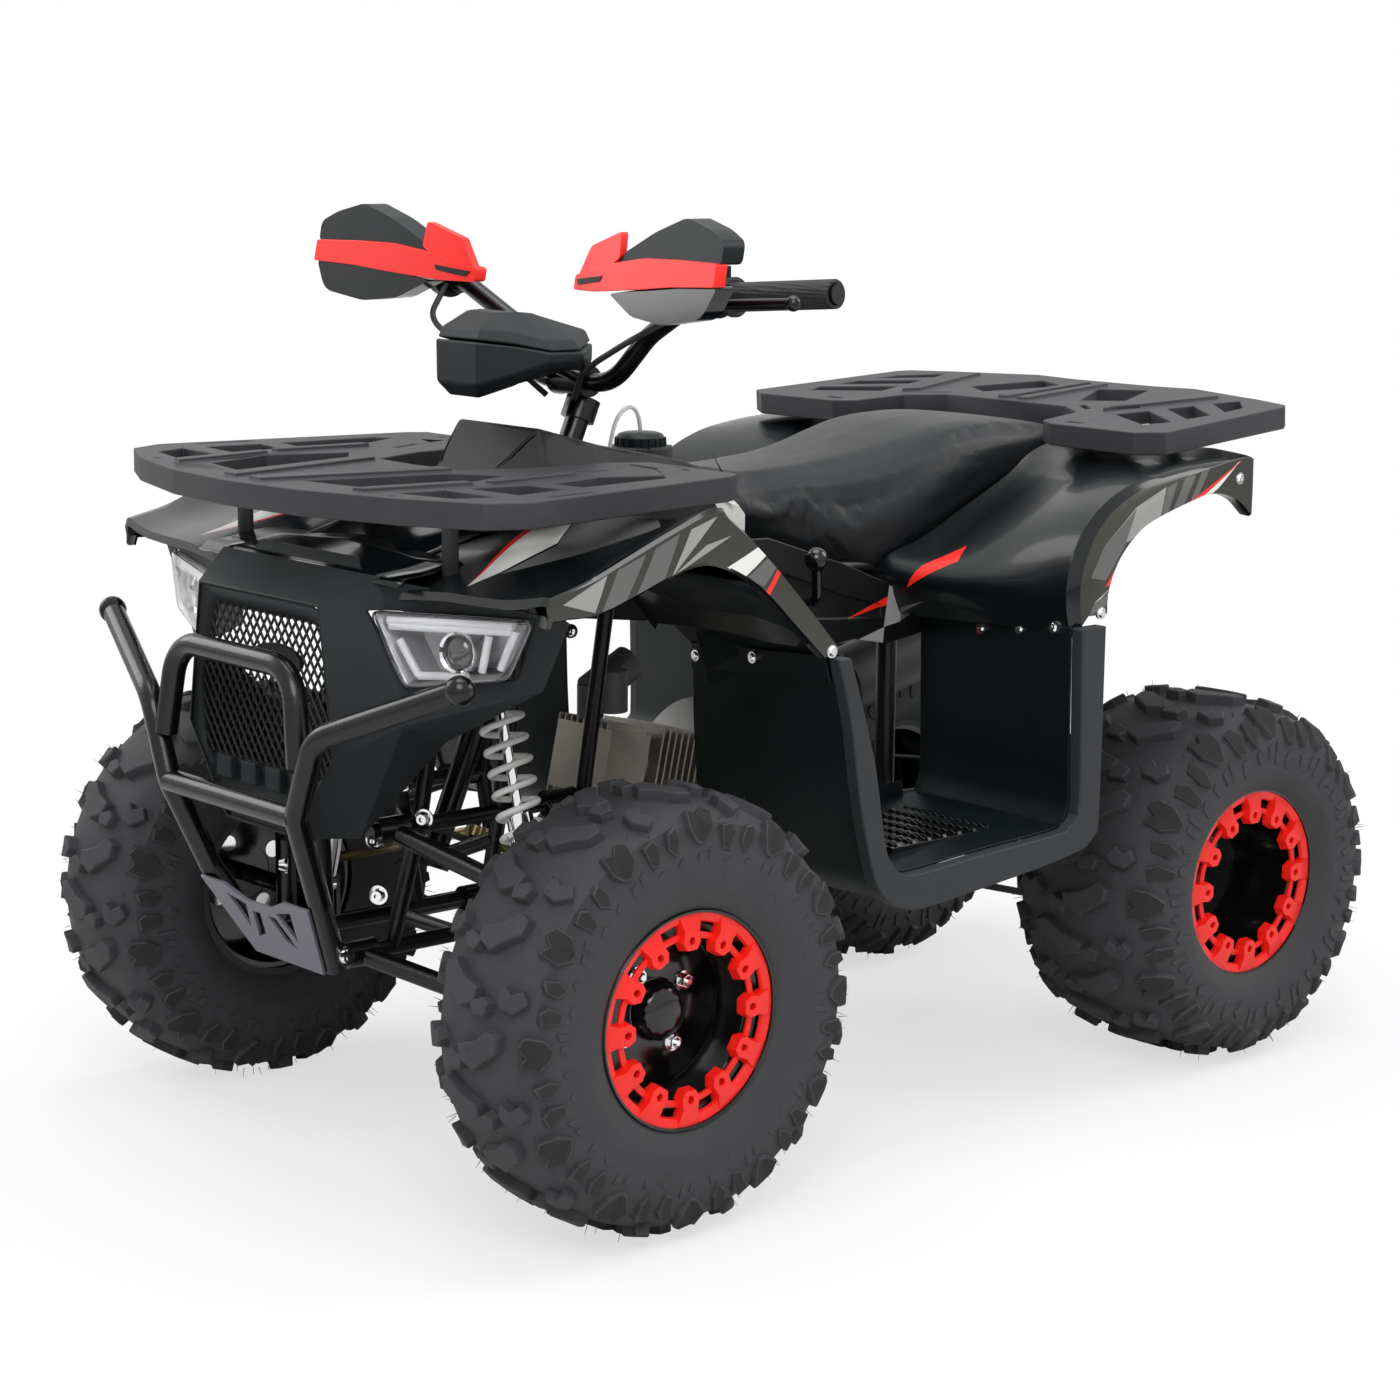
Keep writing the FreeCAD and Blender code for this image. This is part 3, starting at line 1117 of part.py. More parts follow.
def rearFender(well):
    # The skin rises from the footwell's rear wall, turns over the wheel and ends at the tail. Its
    # outside band has the arch over the wheel and a lip along the top.
    inside = [(111, 618), (126, 634), (176, 648), (232, 672), (330, 717), (378, 745), (449, 758),
              (545, 754)]
    ridge = [(169, 572), (160, 622), (171, 675), (205, 717), (264, 745), (332, 758), (400, 764), (470, 770)]
    rim = [(186, 598), (188, 630), (194, 656), (231, 707), (304, 740), (373, 754), (455, 767)]
    arch = [(478, 740), (478, 693), (447, 716), (403, 726), (368, 720), (306, 704), (273, 690), (240, 661),
            (222, 626),
            (220, 598)]
    skin = float(size.skin)
    low, high = float(size.footInX + size.seatGap), float(size.footOutX)
    middle = [((y + p) / 2 + 6, (z + q) / 2 - 4) for (y, z), (p, q) in zip(inside, ridge)]
    half = (low + high) / 2
    back = skin * 0.8
    shell = panelLoft([(low, inside), (half, middle)], skin, back)
    shell = shell.fuse(panelLoft([(half, middle), (high, ridge)], skin, back))
    band = prism([(high, y, z) for y, z in rim + arch], (float(size.fenderX) - high, 0, 0))
    edge = prism([(high, y, z) for y, z in ridge[1:] + arch], (-skin, 0, 0))
    made = shell.fuse([band, edge])
    for shift in (Vector(), Vector(0, size.seatGap, 0), Vector(0, 0, size.seatGap)):
        made = made.cut(well.translated(shift))
    made = max(made.Solids, key=lambda solid: solid.Volume).removeSplitter()
    feature(made, "rear_fender_left")
    feature(flip(made), "rear_fender_right")
    lamp = [(649.3, 702), (649.3, 742), (676, 740), (690, 722), (686, 704)]
    feature(prism([(-size.lampHalf, y, z) for y, z in lamp], (size.lampHalf * 2, 0, 0)), "tail_lamp")
    return made


# Racks

def rackPlate(points, windows, slots, ribs, top, skirt, wall):
    # A moulded deck with a skirt: windows and slots go through, and chevron ribs stand on it.
    outer = prism([(x, y, top - skirt) for x, y in points], (0, 0, skirt))
    inner = Part.Face(ring([(x, y, 0) for x,
                            y in points])).makeOffset2D(-wall).extrude(Vector(0, 0, skirt - wall))
    inner.translate(Vector(0, 0, top - skirt))
    plate = outer.cut(inner)
    cuts = []
    for side in (1, -1):
        for window in windows:
            frameOut = prism([(side * x, y, top - skirt * 0.6) for x, y in window], (0, 0, skirt * 0.6))
            plate = plate.fuse(frameOut)
            face = Part.Face(ring([(side * x, y, 0) for x, y in window])).makeOffset2D(-wall * 0.7)
            cut = face.extrude(Vector(0, 0, 100))
            cut.translate(Vector(0, 0, top - 70))
            cuts.append(cut)
        for x, y, p, q in slots:
            cuts.append(rod((side * x, y, top - 60), (side * x, y, top + 60), size.slotRadius))
            cuts.append(rod((side * p, q, top - 60), (side * p, q, top + 60), size.slotRadius))
            along = Vector(side * (p - x), q - y, 0).normalize()
            across = Vector(-along.y, along.x, 0) * float(size.slotRadius)
            corners = [Vector(side * x, y, top - 60) + across, Vector(side * p, q, top - 60) + across,
                       Vector(side * p, q, top - 60) - across, Vector(side * x, y, top - 60) - across]
            cuts.append(Part.Face(Part.makePolygon(corners + corners[:1])).extrude(Vector(0, 0, 120)))
        for rib in ribs:
            plate = plate.fuse(prism([(side * x, y, top - 1) for x, y in rib],
                                     (0, 0, float(size.ribHigh) + 1)))
    for cut in cuts:
        plate = plate.cut(cut)
    return plate


def bothSides(right):
    return right + [(-x, y) for x, y in reversed(right) if x > 0]


def standing(x, y, top, carrier):
    # An upright that ends just above what carries it.
    post = rod((x, y, top - size.postReach), (x, y, top), size.rackPostRadius)
    post = post.cut(carrier.translated(Vector(0, 0, size.seatGap)))
    return max(post.Solids, key=lambda solid: solid.CenterOfMass.z)


def racks(chassis, shell, fender):
    top = float(size.rackTopZ)
    edge = size.rackFrontX
    points = bothSides([(0, size.rackNoseY), (120, size.rackNoseY + 10), (250, -690), (edge - 22, -648),
                        (edge, -602),
                        (edge - 8, -555), (300, -286), (284, -262), (140, -262), (112, -310), (104, -410),
                        (72, -486),
                        (0, -490)])
    windows = [[(205, -668), (285, -648), (304, -598), (214, -604)],
               [(216, -584), (300, -576), (288, -500), (232, -508)],
               [(236, -486), (286, -480), (274, -352), (250, -336), (216, -404)],
               [(52, -682), (148, -664), (184, -566), (150, -470), (92, -512)]]
    slots = [(160, -400, 176, -362), (150, -300, 190, -300), (330, -560, 322, -500)]
    ribs = [[(12, -716), (36, -716), (84, -500), (60, -500)],
            [(166, -690), (184, -686), (202, -560), (186, -560)],
            [(196, -540), (210, -540), (200, -420), (184, -420)]]
    rack = rackPlate(points, windows, slots, ribs, top, float(size.rackSkirt), float(size.rackWall))
    for side in (1, -1):
        for y in (size.rackHoleFrontY, size.rackHoleRearY):
            rack = rack.cut(rod((side * size.rackHoleX, y, top - 60), (side * size.rackHoleX, y, top + 60),
                                size.rackHoleRadius))
        rack = rack.fuse(standing(side * size.rackPostX, size.rackPostFrontY, top - size.rackWall / 2,
                                  shell))
    feature(rack, "front_rack")
    top = float(size.tailRackTopZ)
    front = size.tailRackFrontY
    points = bothSides([(0, 466), (106, 463), (154, 430), (168, front + 8), (196, front - 8),
                        (size.tailRackFrontX - 34, front - 12),
                        (size.tailRackFrontX, front + 10), (345, 606), (334, 622), (273, 644), (240, 652),
                        (140, size.tailRackEndY),
                        (70, size.tailRackEndY - 8), (0, size.tailRackEndY - 8)])
    windows = [[(206, 440), (300, 388), (318, 428), (222, 492)],
               [(228, 514), (316, 452), (318, 500), (240, 558)],
               [(246, 582), (316, 524), (310, 572), (262, 624)],
               [(26, 612), (84, 508), (140, 540), (96, 640)]]
    slots = [(180, 470, 194, 500), (205, 360, 225, 360), (120, 480, 146, 462)]
    ribs = [[(164, 470), (180, 452), (226, 622), (208, 634)], [(8, 476), (26, 476), (22, 640), (8, 640)]]
    rack = rackPlate(points, windows, slots, ribs, top, float(size.rackSkirt), float(size.rackWall))
    rack.rotate(Vector(0, front, top), Vector(1, 0, 0), float(size.tailRackTilt))
    for side in (1, -1):
        for x, y, carrier in ((size.tailPostX, size.tailPostY, fender if side == 1 else flip(fender)),
                              (size.railPostX, size.railTailY, chassis)):
            deck = top + (y - front) * math.tan(math.radians(size.tailRackTilt)) - size.rackWall / 2
            rack = rack.fuse(standing(side * x, y, deck, carrier))
    feature(rack.removeSplitter(), "rear_rack")


# Engine and exhaust

def engine():
    y, z = float(size.caseY), float(size.caseZ)
    half = size.caseHalf
    face = half + size.coverThick
    case = [rod((-half, y, z), (half, y, z), size.caseRadius),
            rod((-half, y + 90, z - 15), (half, y + 90, z - 15), 62),
            rod((half, y - 6, z), (face, y - 6, z), size.coverRadius),
            rod((-face, y, z), (-half, y, z), size.coverRadius),
            rod((half, size.drivenY, size.drivenZ),
                (size.sprocketX - size.chainWide / 2, size.drivenY, size.drivenZ), 12),
            rod((size.sprocketX - size.chainWide / 2, size.drivenY, size.drivenZ),
                (size.sprocketX + size.chainWide / 2, size.drivenY, size.drivenZ), size.drivenRadius)]
    for i in range(int(size.coverRibs)):
        turn = 2 * math.pi * i / size.coverRibs
        out = Vector(0, math.cos(turn), math.sin(turn))
        first = Vector(half, y - 6, z) + out * float(size.coverRadius - 2)
        case.append(rod(first, first + Vector(size.coverThick - 4, 0, 0), size.coverBoss))
    feature(joined(case), "engine_case")
    headY, headZ = float(size.headY), float(size.headZ)
    rise = math.atan2(headZ - z, y - headY)
    along = Vector(0, -math.cos(rise), math.sin(rise))
    start = Vector(0, y, z) + along * float(size.caseRadius + size.seatGap)
    lean = FreeCAD.Rotation(Vector(0, 0, 1), along)
    side = float(size.finHalf)

    def slab(wide, deep, thick, lift):
        made = Part.makeBox(wide * 2, deep * 2, thick, Vector(-wide, -deep, lift))
        made.Placement = FreeCAD.Placement(start, lean)
        return made

    barrel = float(size.barrelLength)
    pieces = [Part.makeCylinder(float(size.barrelRadius), barrel, start, along)]
    pieces += [slab(side, side * 0.9, float(size.finThick),
                    12 + i * float(size.finPitch)) for i in range(int(size.finCount))]
    pieces.append(slab(side * 0.9, side * 0.72, float(size.headDeep), barrel - 2))
    gap = side * 1.8 / size.headFins
    for i in range(int(size.headFins)):
        fin = Part.makeBox(float(size.finThick), side * 1.7, float(size.headDeep),
                           Vector(-side * 0.9 + i * gap, -side * 0.85, barrel - 2))
        fin.Placement = FreeCAD.Placement(start, lean)
        pieces.append(fin)
    feature(joined(pieces), "cylinder_head")
    carb = Vector(0, size.carbY, size.carbZ)
    feature(joined([rod((0, carb.y, size.carbFootZ), (0, carb.y, carb.z), 16),
                    rod((0, carb.y, carb.z - 10), (0, carb.y + 60, carb.z + 20), size.carbRadius),
                    rod((26, carb.y + 10, carb.z - 30), (26, carb.y + 10, carb.z + 20), 20)]),
                    "carburettor")
    pipe = tube([(-20, -232.8, 368), (-20, -243.5, 319.6), (-100, -235, 314), (-134, -150, 345),
                 (-134, 100, 350),
                 (-134, 230, 400), (size.silencerX, size.silencerY + 5, size.silencerZ)], size.pipeRadius,
                 40)
    can = rod((size.silencerX, size.silencerY, size.silencerZ),
              (size.silencerX, size.silencerY + size.silencerLength, size.silencerZ + 60),
              size.silencerRadius)
    feature(pipe.fuse(can).removeSplitter(), "exhaust")
    foot = (size.panelX + size.skin / 2 + size.seatGap, -72, 613)
    lever = tube([foot, (214, -72, 613), (222, -82, 664)], 6, 20)
    feature(lever.fuse(Part.makeSphere(float(size.leverBall), Vector(222, -82, 668))).removeSplitter(),
            "gear_lever")


rearAxle()
sprocket()
guard = driveChain()
feature(guard, "chain_guard")
swingArm()
rearShock()
frontArms()
frontShocks()
knuckles()
steering()
tieRods()
controls()
meterPod()
cables()
chassis = frame()
bumper()
mask = nose()
frontShell = frontFender()
hood(seat())
sidePanels()
racks(chassis, Part.makeCompound([mask, frontShell, flip(frontShell)]), rearFender(footwells()))
engine()
document.recompute()

os.makedirs("parts", exist_ok=True)
for item in document.Objects:
    if "Invalid" in item.State or "Error" in item.State:
        raise ValueError(f"{item.Label} is in the state {item.State}")
for part in subParts:
    if part.Shape.isNull() or not part.Shape.isValid():
        raise ValueError(f"{part.Label} has no valid shape")
for part in subParts:
    part.Shape.exportStep(f"parts/{part.Label}.step")
box = Part.makeCompound([part.Shape for part in subParts]).BoundBox
print("sub-parts", len(subParts), "box", box)
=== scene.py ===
import json
import math
import random
import bmesh
import bpy
from mathutils import Matrix, Vector


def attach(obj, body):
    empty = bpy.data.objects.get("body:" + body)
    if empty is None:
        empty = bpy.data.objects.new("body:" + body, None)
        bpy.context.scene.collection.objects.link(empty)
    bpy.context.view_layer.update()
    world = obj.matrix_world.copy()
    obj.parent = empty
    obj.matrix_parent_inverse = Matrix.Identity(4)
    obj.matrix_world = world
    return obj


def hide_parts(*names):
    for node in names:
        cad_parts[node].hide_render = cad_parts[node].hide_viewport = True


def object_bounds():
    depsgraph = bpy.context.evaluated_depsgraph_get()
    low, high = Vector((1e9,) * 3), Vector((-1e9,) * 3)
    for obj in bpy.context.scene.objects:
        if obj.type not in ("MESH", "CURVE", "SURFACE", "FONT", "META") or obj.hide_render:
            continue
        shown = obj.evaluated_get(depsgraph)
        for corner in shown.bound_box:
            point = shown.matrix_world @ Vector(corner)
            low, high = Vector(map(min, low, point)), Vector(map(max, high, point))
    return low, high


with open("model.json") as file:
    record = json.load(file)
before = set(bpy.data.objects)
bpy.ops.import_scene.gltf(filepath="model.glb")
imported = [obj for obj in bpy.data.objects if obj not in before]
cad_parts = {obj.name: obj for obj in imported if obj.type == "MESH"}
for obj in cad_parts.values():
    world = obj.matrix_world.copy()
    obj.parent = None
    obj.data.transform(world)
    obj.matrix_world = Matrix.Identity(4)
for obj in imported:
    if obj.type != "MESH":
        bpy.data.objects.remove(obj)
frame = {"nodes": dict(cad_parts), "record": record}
cadBox = [list(corner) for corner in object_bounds()]
nodes = frame["nodes"]
mm = 0.001
random.seed(11)

# Shader graphs


class Signal:
    # One socket's value. Sums with it add Math nodes.

    def __init__(self, graph, socket):
        self.graph = graph
        self.socket = socket

    def __add__(self, other):
        return self.graph.maths("ADD", self, other)

    __radd__ = __add__

    def __mul__(self, other):
        return self.graph.maths("MULTIPLY", self, other)

    __rmul__ = __mul__

    def __gt__(self, other):
        return self.graph.maths("GREATER_THAN", self, other)


class Graph:
    # One node tree and what is added to it.

    def __init__(self, tree):
        self.tree = tree

    def enter(self, socket, value):
        if isinstance(value, Signal):
            self.tree.links.new(value.socket, socket)
        else:
            socket.default_value = value

    def node(self, kind, settings=None, inputs=None, output=0):
        made = self.tree.nodes.new("ShaderNode" + kind)
        for key, value in (settings or {}).items():
            setattr(made, key, value)
        for key, value in (inputs or {}).items():
            self.enter(made.inputs[key], value)
        return Signal(self, made.outputs[output])

    def maths(self, operation, first, second=0.0):
        return self.node("Math", {"operation": operation}, {0: first, 1: second})


class Finish(Graph):
    # One material, its principled shader and the nodes that vary it.

    def __init__(self, name, colour, roughness, **fixed):
        self.material = bpy.data.materials.new(name)
        self.material.use_nodes = True
        super().__init__(self.material.node_tree)
        self.shader = self.tree.nodes["Principled BSDF"]
        self.colour = (*colour, 1)
        self.roughness = roughness
        self.feed("Base Color", self.colour)
        self.feed("Roughness", roughness)
        for socket, value in fixed.items():
            self.feed(socket.replace("_", " "), value)
        self.place = self.node("TexCoord", output="Object")

    def feed(self, socket, value):
        self.enter(self.shader.inputs[socket], value)
        return self

    def blend(self, mask, first, second):
        return self.node("Mix", {"data_type": "RGBA"}, {0: mask, 6: first, 7: second}, 2)

    def noise(self, scale, detail=3, place=None, roughness=0.55):
        inputs = {"Vector": place or self.place, "Scale": scale, "Detail": detail, "Roughness": roughness}
        return self.node("TexNoise", None, inputs)

    def bump(self, height, distance, strength=1.0, below=None):
        inputs = {"Height": height, "Distance": distance, "Strength": strength}
        if below:
            inputs["Normal"] = below
        return self.node("Bump", None, inputs)

    def along(self, direction, place=None):
        return self.node("VectorMath", {"operation": "DOT_PRODUCT"}, {0: place or self.place, 1: direction},
                         "Value")

    def patch(self, plane, corners):
        # 1 inside a convex outline given in millimetres on a plane such as "yz"
        first, second = ("xyz".index(axis) for axis in plane)
        centre = [sum(corner[i] for corner in corners) / len(corners) for i in (0, 1)]
        inside = None
        for (u, v), (p, q) in zip(corners, corners[1:] + corners[:1]):
            across, up = v - q, p - u
            size = math.hypot(across, up)
            across, up = across / size, up / size
            edge = (across * u + up * v) * mm
            if (across * centre[0] + up * centre[1]) * mm < edge:
                across, up, edge = -across, -up, -edge
            direction = [0, 0, 0]
            direction[first], direction[second] = across, up
            side = self.along(tuple(direction)) > edge
            inside = side if inside is None else inside * side
        return inside

    def stripes(self, plane, stripes, ground=None):
        # painted shapes over the ground colour, each a colour and its corners
        colour = ground or self.colour
        for shade, corners in stripes:
            colour = self.blend(self.patch(plane, corners), colour, (*shade, 1))
        return self.feed("Base Color", colour)


def mottle(finish, amount, scale):
    # slow changes of shade and gloss over a surface
    cloud = finish.noise(scale, 4)
    low = tuple(channel * (1 - amount) for channel in finish.colour[:3]) + (1,)
    high = tuple(min(1, channel * (1 + amount)) for channel in finish.colour[:3]) + (1,)
    finish.feed("Base Color", finish.blend(cloud, low, high))
    finish.feed("Roughness", cloud * 0.12 + (finish.roughness - 0.06))
    return cloud


def grained(name, colour, roughness, grain, depth, **fixed):
    # moulded plastic with an eroded grain
    finish = Finish(name, colour, roughness, **fixed)
    mottle(finish, 0.16, 22)
    pits = finish.node("TexVoronoi", None, {"Vector": finish.place, "Scale": grain})
    height = pits + finish.noise(grain * 2.2, 2) * 0.6
    finish.feed("Normal", finish.bump(height, depth))
    return finish


def painted(name, colour, roughness, ripple=0.00012, **fixed):
    # sprayed or powder paint with a slight orange peel
    finish = Finish(name, colour, roughness, **fixed)
    mottle(finish, 0.1, 14)
    finish.feed("Normal", finish.bump(finish.noise(420, 2), ripple))
    return finish


def metal(name, colour, roughness, scale=160, depth=0.00008, **fixed):
    finish = Finish(name, colour, roughness, Metallic=1.0, **fixed)
    cloud = mottle(finish, 0.12, 60)
    finish.feed("Normal", finish.bump(finish.noise(scale, 4) + cloud * 0.4, depth))
    return finish


def castAlloy(name, colour, roughness):
    finish = Finish(name, colour, roughness, Metallic=0.85)
    mottle(finish, 0.22, 35)
    grit = finish.noise(700, 4, roughness=0.7)
    finish.feed("Normal", finish.bump(grit, 0.0005))
    return finish


def rubberFinish(name, colour, roughness, hatch=0.0):
    finish = Finish(name, colour, roughness, Specular_IOR_Level=0.35)
    cloud = finish.noise(28, 5)
    dust = finish.noise(190, 3)
    low = tuple(channel * 0.72 for channel in colour) + (1,)
    high = tuple(channel * 1.3 for channel in colour) + (1,)
    finish.feed("Base Color", finish.blend(cloud * 0.7 + dust * 0.3, low, high))
    height = dust * 0.5 + finish.noise(900, 2) * 0.3
    if hatch:
        spread = finish.node("UVMap")
        rising = finish.maths("SINE", finish.along((hatch, hatch, 0), spread))
        falling = finish.maths("SINE", finish.along((hatch, -hatch, 0), spread))
        height = height + rising * falling * 1.4
    finish.feed("Normal", finish.bump(height, 0.0006))
    return finish


# Camera, lamps and floor

cameraValues = {"position": (2.8313, -2.5498, 1.1682), "yaw": 48.713, "pitch": 10.513, "roll": 0.531,
                "lens": 80.84}


def setCamera(values):
    yaw, pitch, roll = (math.radians(values[key]) for key in ("yaw", "pitch", "roll"))
    back = Vector((math.sin(yaw) * math.cos(pitch), -math.cos(yaw) * math.cos(pitch), math.sin(pitch)))
    right = Vector((0, 0, 1)).cross(back).normalized()
    up = back.cross(right)
    tilted = right * math.cos(roll) + up * math.sin(roll)
    camera = bpy.data.objects.new("camera", bpy.data.cameras.new("camera"))
    camera.data.lens = values["lens"]
    camera.data.sensor_width = 36
    turn = Matrix((tilted, back.cross(tilted), back)).transposed().to_4x4()
    camera.matrix_world = Matrix.Translation(values["position"]) @ turn
    bpy.context.collection.objects.link(camera)
    bpy.context.scene.camera = camera


studioValues = {
    "ambient": 0.42,
    "lamps": [  # place, aim, size in metres, power in watts
        ((2.6, -2.4, 3.2), (0.1, -0.2, 0.5), 2.6, 95),
        ((-2.8, -1.6, 2.4), (0, 0, 0.5), 2.2, 42),
        ((1.6, 2.8, 2.8), (0, 0.2, 0.6), 2.2, 55),
        ((0.0, -0.2, 3.8), (0, 0, 0.4), 2.4, 60),
    ],
    "floorRadius": 14, "floorColour": 0.86, "floorLift": 0.66, "floorFade": (0.7, 2.4),
}


def setStudio(values):
    scene = bpy.context.scene
    scene.view_settings.view_transform = "Standard"
    scene.world = bpy.data.worlds.new("studio")
    scene.world.use_nodes = True
    sky = Graph(scene.world.node_tree)
    rays = [sky.node("LightPath", output=f"Is {ray} Ray") for ray in ("Camera", "Transmission", "Glossy")]
    seen = sky.maths("MAXIMUM", sky.maths("MAXIMUM", rays[0], rays[1]), rays[2])
    background = sky.tree.nodes["Background"]
    sky.enter(background.inputs["Color"], (1, 1, 1, 1))
    sky.enter(background.inputs["Strength"],
              sky.node("MapRange", None, {"Value": seen, "To Min": values["ambient"]}))
    for place, aim, size, power in values["lamps"]:
        lamp = bpy.data.objects.new("lamp", bpy.data.lights.new("lamp", "AREA"))
        lamp.data.shape = "DISK"
        lamp.data.size = size
        lamp.data.energy = power
        turn = (Vector(place) - Vector(aim)).to_track_quat("Z", "Y").to_matrix().to_4x4()
        lamp.matrix_world = Matrix.Translation(place) @ turn
        bpy.context.collection.objects.link(lamp)
    bm = bmesh.new()
    bmesh.ops.create_circle(bm, cap_ends=True, segments=64, radius=values["floorRadius"])
    mesh = bpy.data.meshes.new("studio_floor")
    bm.to_mesh(mesh)
    bm.free()
    floor = bpy.data.objects.new("studio_floor", mesh)
    bpy.context.collection.objects.link(floor)
    matt = Finish("floor", (values["floorColour"],) * 3, 1, Specular_IOR_Level=0)
    near, far = values["floorFade"]
    reach = matt.node("VectorMath", {"operation": "LENGTH"}, {0: matt.place}, "Value")
    fade = matt.node("MapRange", {"interpolation_type": "SMOOTHSTEP"},
                     {"Value": reach, "From Min": near, "From Max": far, "To Min": values["floorLift"]})
    share = matt.node("LightPath", output="Is Camera Ray") * fade
    mixed = matt.node("MixShader", None,
                      {0: share, 1: Signal(matt, matt.shader.outputs[0]), 2: matt.node("Emission")})
    matt.enter(matt.tree.nodes["Material Output"].inputs["Surface"], mixed)
    mesh.materials.append(matt.material)


setCamera(cameraValues)
setStudio(studioValues)
print("studio ready")

# Finishes

finishes = {
    "tyre": rubberFinish("tyre_rubber", (0.034, 0.035, 0.038), 0.7),
    "tyreHatch": rubberFinish("tyre_hatched", (0.028, 0.029, 0.031), 0.78, hatch=2600.0),
    "rubber": rubberFinish("soft_rubber", (0.028, 0.028, 0.03), 0.62),
    "ring": painted("ring_paint", (0.86, 0.012, 0.006), 0.4, 0.00025, Specular_IOR_Level=0.35,
                    Coat_Weight=0.12, Coat_Roughness=0.2),
    "rim": painted("rim_paint", (0.003, 0.003, 0.0035), 0.16, 0.00006, Specular_IOR_Level=0.4,
                   Coat_Weight=0.3, Coat_Roughness=0.06),
    "tube": painted("tube_paint", (0.003, 0.003, 0.0035), 0.24, 0.0002, Specular_IOR_Level=0.3,
                    Coat_Weight=0.15, Coat_Roughness=0.1),
    "chassis": painted("chassis_paint", (0.003, 0.003, 0.0035), 0.3, 0.0002, Specular_IOR_Level=0.3),
    "plate": painted("plate_paint", (0.13, 0.125, 0.15), 0.42, 0.0002, Metallic=0.35),
    "chrome": metal("chrome_plate", (0.78, 0.78, 0.8), 0.09, 90, 0.00003),
    "steel": metal("bright_steel", (0.58, 0.58, 0.57), 0.28),
    "zinc": metal("gold_zinc", (0.62, 0.49, 0.24), 0.36),
    "chain": metal("chain_steel", (0.16, 0.155, 0.15), 0.42),
    "spring": painted("spring_paint", (0.93, 0.92, 0.88), 0.32, 0.00015, Coat_Weight=0.3,
                      Coat_Roughness=0.15),
    "alloy": castAlloy("cast_alloy", (0.24, 0.235, 0.225), 0.48),
    "headAlloy": castAlloy("head_alloy", (0.31, 0.285, 0.255), 0.44),
    "darkAlloy": castAlloy("dark_alloy", (0.12, 0.12, 0.125), 0.5),
    "gloss": painted("gloss_plastic", (0.0018, 0.0033, 0.0042), 0.14, 0.00004, Specular_IOR_Level=0.35,
                     Coat_Weight=0.2, Coat_Roughness=0.05),
    "satin": grained("satin_plastic", (0.0025, 0.0052, 0.0064), 0.4, 1500, 0.00008, Specular_IOR_Level=0.22),
    "trim": grained("trim_plastic", (0.0125, 0.0155, 0.0175), 0.52, 1300, 0.0002, Specular_IOR_Level=0.24),
    "rack": grained("rack_plastic", (0.031, 0.031, 0.035), 0.5, 1100, 0.00022, Specular_IOR_Level=0.3),
    "mesh": grained("mesh_plastic", (0.006, 0.006, 0.0065), 0.5, 1300, 0.0001, Specular_IOR_Level=0.25),
    "rimTrim": grained("rim_trim", (0.021, 0.024, 0.027), 0.55, 1300, 0.0002, Specular_IOR_Level=0.3),
    "exhaust": painted("exhaust_paint", (0.02, 0.019, 0.018), 0.55, 0.0004),
}

# Shapes


def parts(bm):
    return bm.verts[:] + bm.edges[:] + bm.faces[:]


def only(items, kind):
    return [item for item in items if isinstance(item, kind)]


def chain(bm, points, closed=False):
    verts = [bm.verts.new(Vector(point) * mm) for point in points]
    edges = [bm.edges.new(pair) for pair in zip(verts, verts[1:])]
    if closed:
        edges.append(bm.edges.new((verts[-1], verts[0])))
    return edges


def skin(sections, closed=False):
    # a sheet bridged through rows of points
    bm = bmesh.new()
    rows = [chain(bm, row, closed) for row in sections]
    for first, second in zip(rows, rows[1:]):
        bmesh.ops.bridge_loops(bm, edges=first + second)
    return bm


def rounded(points, radius, segments=4):
    # a flat outline with its corners rounded off, all in millimetres
    bm = bmesh.new()
    bm.faces.new([bm.verts.new(Vector(point)) for point in points])
    bmesh.ops.bevel(bm, geom=bm.verts[:], affect="VERTICES", offset=radius, offset_type="OFFSET",
                    segments=segments, profile=0.5, material=-1, clamp_overlap=True)
    bm.faces.ensure_lookup_table()
    biggest = max(bm.faces, key=lambda face: face.calc_area())
    made = [tuple(vert.co) for vert in biggest.verts]
    bm.free()
    return made


def sheet(bm, outline, holes=(), run=(0, 0, 0)):
    # a flat plate with holes, pushed out along run
    edges = chain(bm, outline, True)
    for hole in holes:
        edges += chain(bm, hole, True)
    filled = bmesh.ops.triangle_fill(bm, use_beauty=True, use_dissolve=False, edges=edges)
    faces = only(filled["geom"], bmesh.types.BMFace)
    if any(run):
        grown = bmesh.ops.extrude_face_region(bm, geom=faces, use_keep_orig=True)
        bmesh.ops.translate(bm, verts=only(grown["geom"], bmesh.types.BMVert), vec=Vector(run) * mm)


def cylinder(bm, start, end, radius, segments=24, tip=None):
    start, end = Vector(start) * mm, Vector(end) * mm
    turn = (end - start).to_track_quat("Z", "Y").to_matrix().to_4x4()
    matrix = Matrix.Translation((start + end) / 2) @ turn
    tip = radius if tip is None else tip
    made = bmesh.ops.create_cone(bm, cap_ends=True, segments=segments, radius1=radius * mm,
                                 radius2=tip * mm, depth=(end - start).length, matrix=matrix)
    return made["verts"]


def box(bm, low, high):
    low, high = Vector(low) * mm, Vector(high) * mm
    matrix = Matrix.Translation((low + high) / 2) @ Matrix.Diagonal((*(high - low), 1))
    bmesh.ops.create_cube(bm, size=1, matrix=matrix)


